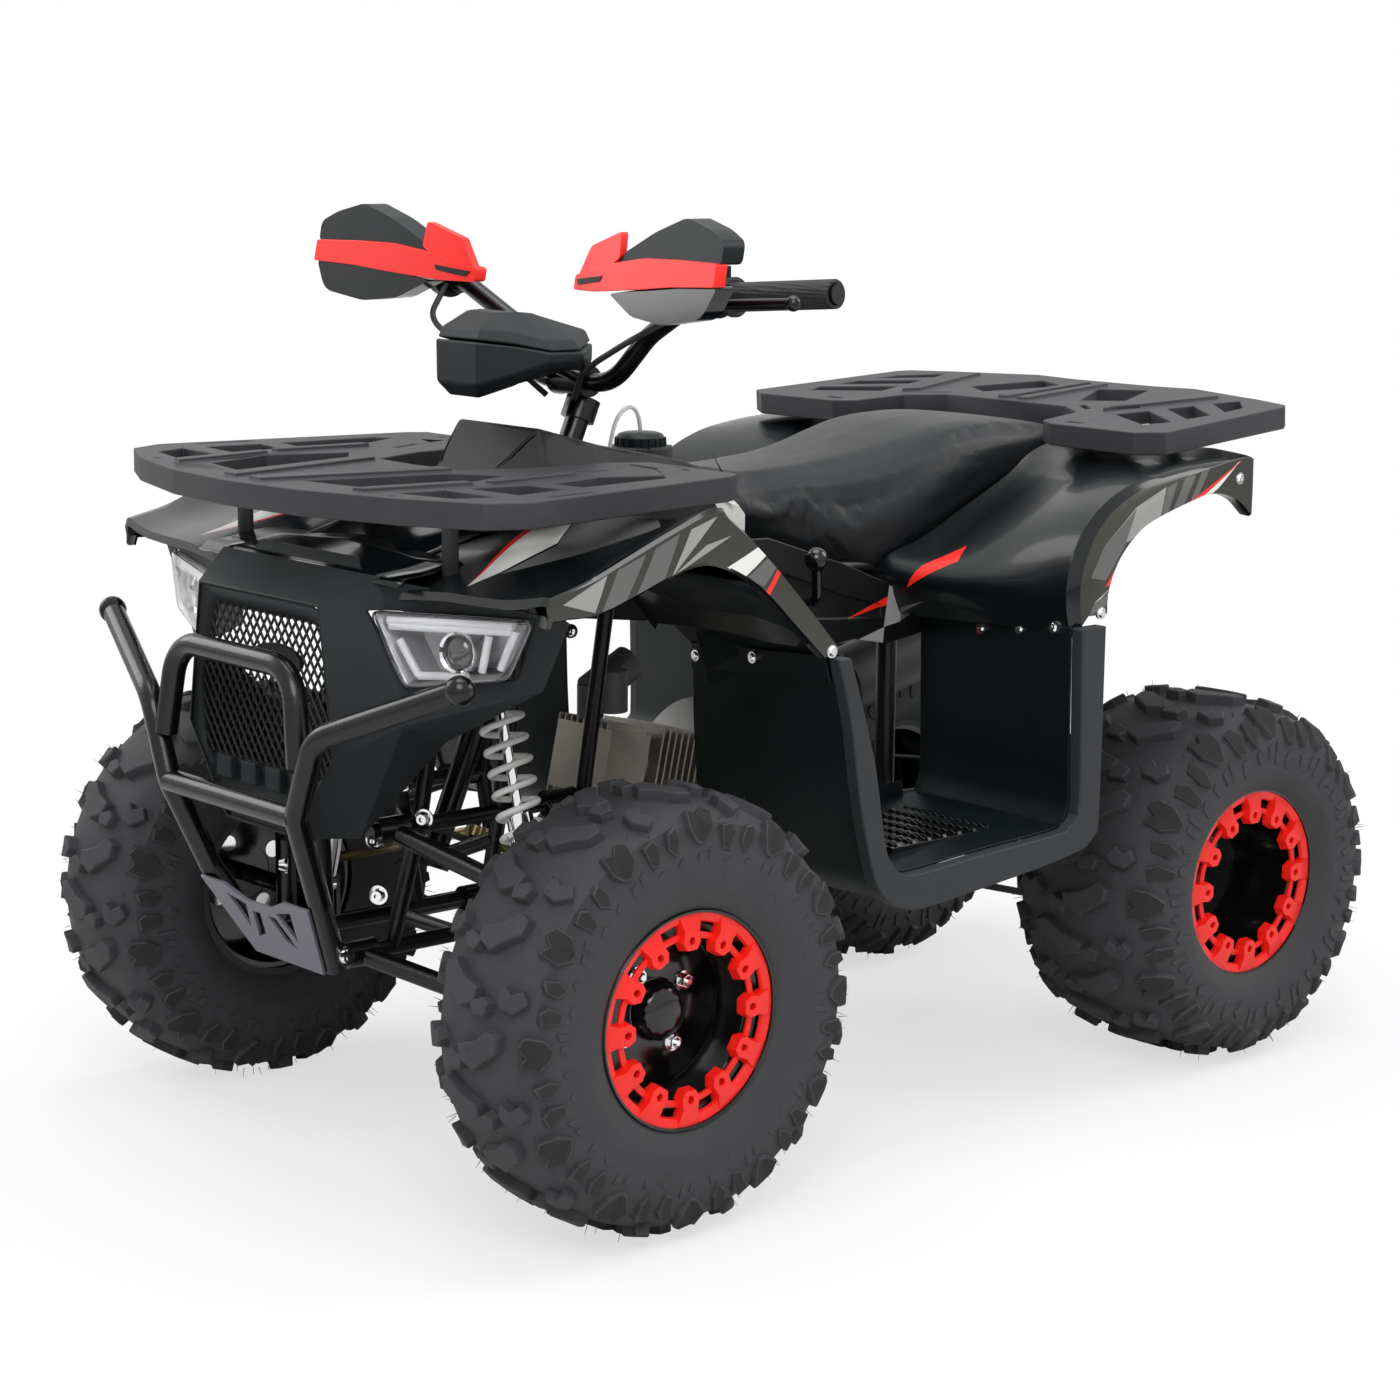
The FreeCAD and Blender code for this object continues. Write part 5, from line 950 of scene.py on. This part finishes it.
dressings = [  # node, finish, edge rounding in mm
    ("front_mask", finishes["trim"], 2.0), ("hood", finishes["gloss"], 2.5),
    ("steering_cowl", cowlFinish, 3.0), ("side_panel_left", panelFinish, 1.5),
    ("side_panel_right", panelFinish, 1.5), ("foot_pegs", finishes["tube"], 0.8),
    ("front_rack", finishes["rack"], 1.6), ("rear_rack", finishes["rack"], 1.6),
    ("bumper_plate", finishes["plate"], 0.8), ("engine_case", finishes["alloy"], 1.4),
    ("cylinder_head", finishes["headAlloy"], 0.5), ("carburettor", finishes["darkAlloy"], 0.8),
    ("tail_lamp", lensRed, 2.0), ("chain_guard", finishes["satin"], 1.2),
    ("exhaust", finishes["exhaust"], 1.0), ("control_levers", finishes["tube"], 0.8),
    ("gear_lever", finishes["gloss"], 0.8), ("grips", gripFinish, 0.8),
    ("swing_arm", finishes["chassis"], 1.2),
]
for node, finish, width in dressings:
    dressed(node, finish, width)
print("bodywork ready")

# Seat

seatValues = {
    "stations": [  # half width, top, foot and how far along
        (88, 748, 690, -90), (97, 746, 664, -30), (114, 750, 632, 58), (128, 758, 621, 126),
        (134, 772, 647, 191), (135, 785, 679, 255), (133, 789, 717, 330), (128, 785, 747, 398),
        (120, 774, 750, 466), (104, 758, 748, 508)],
    "section": [(0.9, 0.0), (0.99, 0.2), (1.0, 0.45), (0.985, 0.7), (0.93, 0.88), (0.82, 0.97), (0.6, 1.02),
                (0.3, 1.04), (0, 1.05)],
    "rows": 44, "voxel": 0.005, "pressure": 4.0, "cap": 0.006, "frames": 20,
}


def vinyl(name, colour, roughness):
    # seat cover with a fine leather grain and soft creases
    finish = Finish(name, colour, roughness, Specular_IOR_Level=0.26)
    mottle(finish, 0.22, 12)
    cells = finish.node("TexVoronoi", {"feature": "DISTANCE_TO_EDGE"},
                        {"Vector": finish.place, "Scale": 520.0})
    grain = finish.bump(cells + finish.noise(900, 2) * 0.3, 0.00035)
    creases = finish.noise(16, 3, roughness=0.4)
    finish.feed("Normal", finish.bump(creases, 0.004, 0.35, grain))
    return finish


def puff(piece, values):
    # the cover swells over its padding, no further than the cap
    remesh = piece.modifiers.new("remesh", "REMESH")
    remesh.mode = "VOXEL"
    remesh.voxel_size = values["voxel"]
    bpy.context.view_layer.update()
    graph = bpy.context.evaluated_depsgraph_get()
    mesh = bpy.data.meshes.new_from_object(piece.evaluated_get(graph))
    piece.modifiers.clear()
    piece.data = mesh
    start = [vert.co.copy() for vert in mesh.vertices]
    cloth = piece.modifiers.new("cover", "CLOTH")
    cloth.settings.use_pressure = True
    cloth.settings.uniform_pressure_force = values["pressure"]
    cloth.settings.effector_weights.gravity = 0
    scene = bpy.context.scene
    for frameAt in range(1, values["frames"] + 1):
        scene.frame_set(frameAt)
    graph = bpy.context.evaluated_depsgraph_get()
    swollen = [vert.co.copy() for vert in piece.evaluated_get(graph).data.vertices]
    piece.modifiers.clear()
    scene.frame_set(1)
    for vert, before, after in zip(mesh.vertices, start, swollen):
        move = after - before
        if move.length > values["cap"]:
            move = move.normalized() * values["cap"]
        vert.co = before + move
    mesh.shade_smooth()


def seatRows(values):
    halves, tops, feet = (
        spaced([(station[3], station[i], 0) for station in values["stations"]], values["rows"])
        for i in range(3))
    rows = []
    for half, top, foot in zip(halves, tops, feet):
        right = [(half.y * x, half.x, foot.y + (top.y - foot.y) * up) for x, up in values["section"]]
        rows.append(right + [(-x, y, z) for x, y, z in reversed(right[:-1])])
    return rows


def makeSeat(values):
    rows = seatRows(values)
    bm = skin(rows, closed=True)
    bmesh.ops.holes_fill(bm, edges=[edge for edge in bm.edges if edge.is_boundary], sides=0)
    bmesh.ops.triangulate(bm, faces=[face for face in bm.faces if len(face.verts) > 4])
    piece = finishPiece("seat_pad", bm, vinyl("seat_cover", (0.012, 0.0135, 0.015), 0.42), "chassis",
                        "seat_vinyl", ["seat"], 60)
    puff(piece, values)
    smoothen(piece, 1)
    return piece


makeSeat(seatValues)
print("seat ready")

# Hand guards

guardValues = {
    "wing": [(91, 986), (118, 1027), (178, 1045), (181, 1016), (168, 1009), (120, 998)],
    "upper": [(172, 1010), (185, 1022), (240, 1046), (294, 1063), (340, 1052), (367, 1040), (367, 1016),
              (291, 1017)],
    "band": [(91, 994), (120, 1000), (168, 1010), (230, 1018), (291, 1019), (365, 1018), (366, 993),
             (291, 990), (236, 985), (140, 978), (91, 978)],
    "lower": [(165, 977), (236, 986), (366, 994), (350, 966), (339, 958), (274, 949), (215, 955)],
    "slot": [(98, 990), (154, 996), (150, 990), (104, 984)],
    "tip": (91, -332), "end": (366, -370), "curve": 0.7, "lean": 0.18, "middle": 990, "depth": 30,
    "slices": 14,
    "stays": [((232, -340, 985), (232, -262, 978)), ((250, -340, 985), (250, -262, 979))],
}


def guardPlace(point, values):
    # the guard sweeps back towards its outer end and leans back at its top
    (tipX, tipY), (endX, endY) = values["tip"], values["end"]
    share = max(0, (point.x / mm - tipX) / (endX - tipX))
    sweep = tipY + (endY - tipY) * share ** values["curve"]
    return Vector((point.x, point.y + (sweep + values["lean"] * (point.z / mm - values["middle"])) * mm,
                   point.z))


def cutAcross(bm, values):
    left, right = values["tip"][0], values["end"][0]
    for step in range(1, values["slices"]):
        at = left + (right - left) * step / values["slices"]
        bmesh.ops.bisect_plane(bm, geom=parts(bm), dist=1e-6, plane_co=(at * mm, 0, 0), plane_no=(1, 0, 0))


def addShell(bm, values, outline, front, depth, corner):
    made = bmesh.new()
    sheet(made, rounded([(x, front, z) for x, z in outline], corner, 4), (), (0, depth, 0))
    cutAcross(made, values)
    bmesh.ops.dissolve_limit(made, angle_limit=0.001, verts=made.verts, edges=made.edges, delimit={"NORMAL"})
    cutAcross(made, values)
    for vert in made.verts:
        vert.co = guardPlace(vert.co, values)
    absorb(bm, made)


def makeGuards(values):
    for side in ("left", "right"):
        layers = [  # piece, finish, and its shells: outline, front, depth and corner radius
            ("upper", finishes["satin"], [("upper", 3, values["depth"], 7)]),
            ("band", finishes["ring"], [("band", -2, 16, 3), ("wing", 0, 10, 4)]),
            ("lower", finishes["gloss"], [("lower", 3, values["depth"] - 4, 8)]),
            ("slot", finishes["mesh"], [("slot", -3, 4, 1)])]
        for layer, finish, shells in layers:
            bm = bmesh.new()
            for outline, front, depth, corner in shells:
                addShell(bm, values, values[outline], front, depth, corner)
            if layer == "upper":
                for start, end in values["stays"]:
                    cylinder(bm, start, end, 6, 16)
            if side == "right":
                flip(bm)
            node = [f"hand_guard_{side}"] if layer == "upper" else ()
            piece = finishPiece(f"guard_{layer}_{side}", bm, finish, "steering", "gloss_black", node, 30)
            soften(piece, 2.2 if layer in ("upper", "lower") else 0.8, 3, 40)


makeGuards(guardValues)
print("guards ready")

# Meter pod, controls and filler

podValues = {
    "rings": [  # half of each ring from the nose round to the back
        [(26, -420, 856), (58, -394, 870), (86, -364, 892), (86, -318, 892), (58, -290, 882)],
        [(37, -431, 872), (66, -404, 884), (91, -368, 898), (92, -320, 899), (63, -286, 896)],
        [(38, -431, 920), (68, -403, 917), (92, -366, 908), (93, -325, 908), (62, -285, 915)]],
    "lid": [
        [(37, -429, 922), (66, -402, 919), (90, -366, 910), (91, -326, 910), (61, -287, 917)],
        [(35, -424, 934), (60, -397, 932), (82, -367, 922), (84, -329, 921), (57, -291, 930)],
        [(24, -398, 951), (29, -388, 952), (34, -372, 952), (32, -350, 950), (25, -336, 946)]],
    "arm": ((26, -330, 896), (22, -268, 872)), "armRadius": 8,
}


def ringed(halves):
    bm = skin([half + [(-x, y, z) for x, y, z in reversed(half)] for half in halves], closed=True)
    bmesh.ops.holes_fill(bm, edges=[edge for edge in bm.edges if edge.is_boundary], sides=0)
    return bm


for name, rings, node, width in (("shell", "rings", ["meter_pod"], 3), ("lid", "lid", (), 2.5)):
    piece = finishPiece(f"meter_pod_{name}", ringed(podValues[rings]), finishes["trim"], "steering",
                        "gloss_black", node, 35)
    soften(piece, width, 3, 12)
arms = bmesh.new()
cylinder(arms, *podValues["arm"], podValues["armRadius"], 16)
addMirror(arms)
finishPiece("meter_pod_arms", arms, finishes["tube"], "steering", "gloss_black")

switchValues = {
    "from": (236, -260, 976), "to": (262, -258, 977), "radii": (25, 23, 19), "split": (15, 15.5),
    "boxes": [((1, -8, 18), (20, 12, 33)), ((2, -30, -12), (16, -16, 4))],
}
housing = bmesh.new()
start, end = Vector(switchValues["from"]), Vector(switchValues["to"])
along = (end - start).normalized()
inner, outer, tip = switchValues["radii"]
cylinder(housing, start, start + along * switchValues["split"][0], inner, 32)
cylinder(housing, start + along * switchValues["split"][1], end, outer, 32, tip)
for low, high in switchValues["boxes"]:
    box(housing, start + Vector(low), start + Vector(high))
addMirror(housing)
soften(finishPiece("switch_housings", housing, finishes["satin"], "steering", "matt_black", (), 35), 1.5, 2,
       35)

capValues = {
    "place": (0, -161, 786), "profile": [(-2, 29), (10, 29), (14, 26), (16, 20), (16.5, 0.5)],
    "ribs": 20, "ribAt": 29, "ribHeight": 10, "ribRadii": (2.2, 1.6), "hoseRadius": 2.6,
    "hose": [(0, -161, 800), (0, -162, 818), (-1, -172, 834), (-2, -190, 828), (-2, -203, 806),
             (-2, -208, 776)],
}
cap = lathe(capValues["profile"], capValues["place"], (0, 0, 1), 60)
wide, narrow = capValues["ribRadii"]
for index in range(capValues["ribs"]):
    turn = math.tau * index / capValues["ribs"]
    foot = Vector(capValues["place"]) + Vector((math.cos(turn), math.sin(turn), 0)) * capValues["ribAt"]
    cylinder(cap, foot, foot + Vector((0, 0, capValues["ribHeight"])), wide, 8, narrow)
finishPiece("filler_cap", cap, finishes["satin"], "chassis", "soft_rubber", ["fuel_cap"], 35)
breather = bmesh.new()
pipe(breather, capValues["hose"], capValues["hoseRadius"])
clear = Finish("clear_hose", (0.75, 0.75, 0.72), 0.2, Transmission_Weight=0.5, IOR=1.4)
clear.feed("Normal", clear.bump(clear.noise(300, 1), 0.0001))
finishPiece("breather_hose", breather, clear, "chassis", "soft_rubber", (), 60)
print("controls ready")

# Headlamps

lampValues = {
    "corners": [(147, -655.5, 653), (339, -592.5, 660), (310.5, -602.4, 597), (190, -642.7, 576.5)],
    "cornerRadius": 9, "inward": (-0.3128, 0.9497, -0.014),
    "lens": [(0.985, 5), (0.985, 0), (0.95, -3.4), (0.8, -5.5), (0.45, -7)],  # share of the outline, depth
    "bowl": [(1.0, 3), (0.97, 5), (0.86, 24), (0.7, 42)], "lensWall": 2.2, "bowlWall": 1.5,
    "guides": [[(164, -649, 645), (316, -600, 653)], [(166, -648, 639), (314, -600, 646)],
               [(287, -610, 640), (279, -613, 601)], [(318, -599, 648), (301, -606, 606)],
               [(180, -646, 626), (203, -638, 590), (262, -619, 595)]], "guideRadius": 4.4, "guideIn": 7,
    "projector": (250, -621, 619), "shroud": [(30, 23), (4, 23), (2, 21.5), (4, 19), (12, 17.5)],
    "eye": [(14, 17.5), (9, 16.5), (5, 13), (2.6, 8), (1.8, 0.2)],
}
glass = Finish("lamp_glass", (1, 1, 1), 0.02, Transmission_Weight=1.0, IOR=1.45, Specular_IOR_Level=0.5)
glass.feed("Normal", glass.bump(glass.noise(40, 1), 0.00003))
bowl = painted("lamp_bowl", (0.42, 0.42, 0.44), 0.3, 0.0001, Metallic=0.5)
guide = painted("light_guide", (0.86, 0.87, 0.9), 0.3, 0.00003, Coat_Weight=0.4)
ball = Finish("projector_lens", (0.02, 0.022, 0.026), 0.04, Coat_Weight=1.0, Coat_Roughness=0.02)
ball.feed("Normal", ball.bump(ball.noise(60, 1), 0.00002))


def makeHeadlamps(values):
    inward = Vector(values["inward"])
    outline = [Vector(point) for point in rounded(values["corners"], values["cornerRadius"], 4)]
    middle = sum(outline, Vector()) / len(outline)

    def dish(rings):
        # rings from the outline inwards, closed at the last one
        bm = skin([[tuple(middle + (point - middle) * share + inward * depth) for point in outline]
                   for share, depth in rings], closed=True)
        bm.verts.ensure_lookup_table()
        last = set(bm.verts[-len(outline):])
        bmesh.ops.holes_fill(bm, edges=[edge for edge in bm.edges if set(edge.verts) <= last], sides=0)
        return bm

    lens = dish(values["lens"])
    bmesh.ops.solidify(lens, geom=lens.faces[:], thickness=-values["lensWall"] * mm)
    bowls = dish(values["bowl"])
    facing(bowls, -inward)
    guides = bmesh.new()
    for route in values["guides"]:
        for start, end in zip(route, route[1:]):
            into = inward * values["guideIn"]
            cylinder(guides, Vector(start) + into, Vector(end) + into, values["guideRadius"], 12)
    shroud = lathe(values["shroud"], values["projector"], inward, 40)
    eye = lathe(values["eye"], values["projector"], inward, 40)
    for bm in (lens, bowls, guides, shroud, eye):
        addMirror(bm)
    finishPiece("headlamp_lenses", lens, glass, "chassis", "lamp_clear", (), 40)
    thicken(placePiece("headlamp_bowls", bowls, bowl, "chassis", "lamp_clear", ["headlamps"], 30),
            values["bowlWall"])
    soften(finishPiece("headlamp_guides", guides, guide, "chassis", "lamp_clear", (), 40), 0.8, 2, 40)
    finishPiece("headlamp_shrouds", shroud, finishes["chrome"], "chassis", "lamp_clear", (), 40)
    finishPiece("headlamp_projectors", eye, ball, "chassis", "lamp_clear", (), 60)


makeHeadlamps(lampValues)
print("headlamps ready")

# Footwells

footwellValues = {
    "outer": [(-226, 592), (-206, 522), (-191, 436), (-176, 373), (-162, 332), (-140, 307), (-108, 294),
              (-69, 293), (100, 309), (178, 321), (197, 333), (206, 354), (208, 586)],
    "inner": [(166, 586), (170, 376), (162, 356), (143, 347), (20, 341), (-104, 334), (-130, 345),
              (-147, 371), (-167, 471), (-206, 592)],
    "rimOut": 412, "rimIn": 394, "shieldIn": 118, "shieldOut": 402,
    "shieldInner": [(-180, 566), (-177, 470), (-170, 390), (-160, 330), (-128, 300)],
    "shieldShares": (0, 0.05, 0.3, 0.6, 0.85, 0.97, 1.0), "shieldSweep": 4, "steps": 26, "wall": 3.0,
    "liner": [(-234, 612), (-262, 634), (-300, 660), (-336, 682)], "linerShares": (0, 0.25, 0.5, 0.75, 0.99),
    "wellAcross": (396, 330, 240, 150), "lip": [(150, 334), (150, 352), (146, 366)],
    "lipAlong": (-118, -20, 60, 140),
    "strap": 30, "strapOff": (2, 1, 2), "strapSlant": 8, "strapDepth": -3,
    "pad": [(146, 334), (192, 346), (192, 428), (154, 434), (146, 404)],
    "padFrom": 197, "padDepth": -19,
    "strapScrews": [(132, -184, 555), (252, -204, 571)],
    "seamScrews": [(254, 161, 568), (317, 161, 576), (371, 161, 583)],
}


def makeFootwell(values):
    satin, wall, steps = finishes["satin"], values["wall"], values["steps"]
    near, rimIn, rimOut = values["shieldIn"], values["rimIn"], values["rimOut"]
    span = values["shieldOut"] - near

    # shield, liner and strap behind the front wheel
    outer = spaced([(0, y, z) for y, z in values["outer"][:6]], steps)
    inner = spaced([(0, y, z) for y, z in values["shieldInner"]], steps)
    rows = []
    for share in values["shieldShares"]:
        between = [a.lerp(b, share) for a, b in zip(inner, outer)]
        sweep = values["shieldSweep"] * share
        rows.append([(near + span * share, point.y + sweep, point.z) for point in between])
    shield = skin(rows)
    facing(shield, (0, -1, 0))
    first, last = inner[0], outer[0]
    rows = []
    for share in values["linerShares"]:
        line = [first.lerp(last, share).yz] + values["liner"]
        rows.append([(near + span * share, y, z) for y, z in line])
    liner = skin(rows)
    facing(liner, (0, -1, 0))
    strap = bmesh.new()
    inset, ahead, above = values["strapOff"]
    begin = Vector((near + inset, first.y - ahead, first.z + above))
    end = Vector((rimIn, last.y - ahead, last.z + above))
    low, slant = Vector((0, 0, -values["strap"])), Vector((0, values["strapSlant"], 0))
    sheet(strap, [begin, end, end + low + slant, begin + low], (), (0, values["strapDepth"], 0))

    # the well behind it, with its lip, raised rim and pad
    tub = [(0, y, z) for y, z in values["inner"]]
    tub = spaced(tub[:2], 6)[:-1] + spaced(tub[1:], 40)
    well = skin([[(x, point.y, point.z) for point in tub] for x in values["wellAcross"]])
    facing(well, (0, 0, 1))
    lip = skin([[(x, y, z) for x, z in values["lip"]] for y in values["lipAlong"]])
    facing(lip, (1, 0, 0))
    rim = bmesh.new()
    loop = [tuple(point) for line, count in ((values["outer"], 60), (values["inner"], 48))
            for point in spaced([(rimOut, y, z) for y, z in line], count)]
    sheet(rim, loop, (), (rimIn - rimOut, 0, 0))
    pad = bmesh.new()
    sheet(pad, rounded([(x, values["padFrom"], z) for x, z in values["pad"]], 9), (),
          (0, values["padDepth"], 0))
    screws = bmesh.new()
    for place in values["strapScrews"]:
        addScrew(screws, Vector(place) + Vector((0, values["strapDepth"], 0)), (0, -1, 0), 5)
    for place in values["seamScrews"]:
        addScrew(screws, place, (0, -1, 0.2), 5.5)
    return {"shield": (shield, satin, wall, 1.0), "liner": (liner, satin, 2.0, 0),
            "strap": (strap, satin, 0, 1.2), "well": (well, satin, -wall, 1.0),
            "lip": (lip, satin, 2.5, 0.8), "rim": (rim, finishes["rimTrim"], 0, 2.6),
            "pad": (pad, satin, 0, 3.0), "screws": (screws, finishes["chrome"], 0, 0)}


for side in ("left", "right"):
    for part, (bm, finish, wall, edge) in makeFootwell(footwellValues).items():
        if side == "right":
            flip(bm)
        make = placePiece if wall else finishPiece
        node = [f"footwell_{side}"] if part == "well" else ()
        piece = make(f"footwell_{part}_{side}", bm, finish, "chassis", "matt_black", node)
        if wall:
            thicken(piece, wall)
        if edge:
            soften(piece, edge, 2, 40)
print("footwells ready")

# Nose

noseValues = {
    "mesh": [(-97, 636), (97, 636), (127, 556), (124, 470), (-124, 470), (-127, 556)],
    "meshY": -687, "meshMiddle": 560,
    "pitch": 11.0, "lean": 36, "wire": 1.5, "spread": 1.03, "apart": 0.8,
    "plate": (20, 589, 46, 17), "plateDepth": (-3, 5), "wires": 30, "frameBehind": 2, "wall": 2.5,
    "window": [(-113, 657), (113, 657), (138, 500), (68, 404), (-68, 404), (-138, 500)], "windowY": -697,
    "tabs": (-72, -24, 24, 72), "tab": ((-14, -700, 446), (14, -690, 470)),
    "top": [  # y, z and how fast it drops to the sides
        (-652, 684, 0), (-640, 692, 0), (-612, 700, 0.03), (-585, 708, 0.05), (-560, 712, 0.06)],
    "topAcross": (-190, -130, -60, 0, 60, 130, 190),
    "brow": [(-104, -640, 686), (-92, -634, 703), (92, -634, 703), (104, -640, 686)], "browDepth": 5,
}


def clipped(outline, point, direction):
    # the part of a line inside a convex outline
    low, high = -1e4, 1e4
    centre = sum((Vector(corner) for corner in outline), Vector((0, 0))) / len(outline)
    for first, second in zip(outline, outline[1:] + outline[:1]):
        edge = Vector(second) - Vector(first)
        normal = Vector((-edge.y, edge.x))
        if normal.dot(centre - Vector(first)) < 0:
            normal = -normal
        slope, gap = normal.dot(direction), normal.dot(point - Vector(first))
        if abs(slope) < 1e-9:
            if gap < 0:
                return None
        elif slope > 0:
            low = max(low, -gap / slope)
        else:
            high = min(high, -gap / slope)
    return (point + direction * low, point + direction * high) if high - low > 4 else None


def spacedLoop(corners, count):
    # points evenly spaced along a closed straight-sided loop
    points = [Vector(corner) for corner in corners]
    ends = points[1:] + points[:1]
    total = sum((b - a).length for a, b in zip(points, ends))
    made = []
    for step in range(count):
        want = total * step / count
        for a, b in zip(points, ends):
            run = (b - a).length
            if want <= run:
                made.append(tuple(a.lerp(b, want / run)))
                break
            want -= run
    return made


def makeNose(values):
    trim, y, middle = finishes["trim"], values["meshY"], values["meshMiddle"]
    wires = bmesh.new()
    grown = [(x * values["spread"], middle + (z - middle) * values["spread"]) for x, z in values["mesh"]]
    for way in (1, -1):
        lean = math.radians(values["lean"] * way)
        direction = Vector((math.sin(lean), math.cos(lean)))
        across = Vector((direction.y, -direction.x))
        for step in range(-values["wires"], values["wires"] + 1):
            line = clipped(grown, Vector((0, middle)) + across * step * values["pitch"], direction)
            if line:
                start, end = ((spot.x, y + values["apart"] * way, spot.y) for spot in line)
                cylinder(wires, start, end, values["wire"], 6)
    x, z, wide, high = values["plate"]
    turns = [math.tau * i / 40 for i in range(40)]
    front, deep = values["plateDepth"]
    sheet(wires, [(x + wide * math.cos(turn), y + front, z + high * math.sin(turn)) for turn in turns],
          (), (0, deep, 0))
    finishPiece("front_grille_mesh", wires, finishes["mesh"], "chassis", "matt_black", ["front_grille"], 40)

    edge = skin([spacedLoop([(x, values["windowY"], z) for x, z in values["window"]], 48),
                 spacedLoop([(x, y + values["frameBehind"], z) for x, z in values["mesh"]], 48)],
                closed=True)
    facing(edge, (0, 0, 0))
    thicken(placePiece("front_grille_frame", edge, trim, "chassis", "trim_grey", (), 30), values["wall"], 0)
    tabs = bmesh.new()
    for x in values["tabs"]:
        box(tabs, *(Vector(corner) + Vector((x, 0, 0)) for corner in values["tab"]))
    soften(finishPiece("front_grille_tabs", tabs, trim, "chassis", "trim_grey"), 1.5, 2)

    top = skin([[(x, y, z - abs(x) * drop) for x in values["topAcross"]] for y, z, drop in values["top"]])
    facing(top, (0, 0, 1))
    thicken(placePiece("nose_top_skin", top, finishes["gloss"], "chassis", "gloss_black"), values["wall"])
    brow = bmesh.new()
    sheet(brow, values["brow"], (), (0, values["browDepth"], 0))
    soften(finishPiece("nose_brow_ridge", brow, trim, "chassis", "trim_grey"), 1.5, 2)


makeNose(noseValues)
print("nose ready")

# Screws

screwValues = {
    "chrome": [((360, -557, 650), (0.5, -0.85, 0.1)), ((402.8, -228, 600), (1, 0, 0)),
               ((402.8, 207, 600), (1, 0, 0)), ((402.8, 452, 742), (1, 0, 0))],
    "steel": [((118, -556, 494), (0.5, -0.85, 0)), ((112, -562, 411), (0.5, -0.85, 0)),
              ((96, -616, 392), (0.5, -0.85, 0)), ((90, -652, 266), (1, -0.2, 0)),
              ((90, -608, 328), (0.6, -0.8, 0)), ((100, -580, 450), (0.6, -0.8, 0))],
}
screws = bmesh.new()
for place, normal in screwValues["chrome"]:
    addScrew(screws, place, normal, 5.5)
for place, normal in screwValues["steel"]:
    addScrew(screws, place, normal, 8, 8)
addMirror(screws)
finishPiece("body_screws", screws, finishes["chrome"], "chassis", "shock_steel", (), 35)
print("screws ready")

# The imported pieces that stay

cadFinishes = {
    "frame": "chassis", "front_bumper": "tube", "front_arms": "tube", "front_shocks": "chrome",
    "front_springs": "spring", "knuckle_left": "tube", "knuckle_right": "tube", "tie_rod_left": "zinc",
    "tie_rod_right": "zinc", "steering_stem": "tube", "handlebar": "tube", "control_cables": "rubber",
    "rear_shock": "chrome", "drive_chain": "chain", "rear_axle": "steel", "rear_sprocket": "steel",
}
for node, key in cadFinishes.items():
    mesh = nodes[node].data
    mesh.materials.clear()
    mesh.materials.append(finishes[key].material)
print("packed pieces painted")
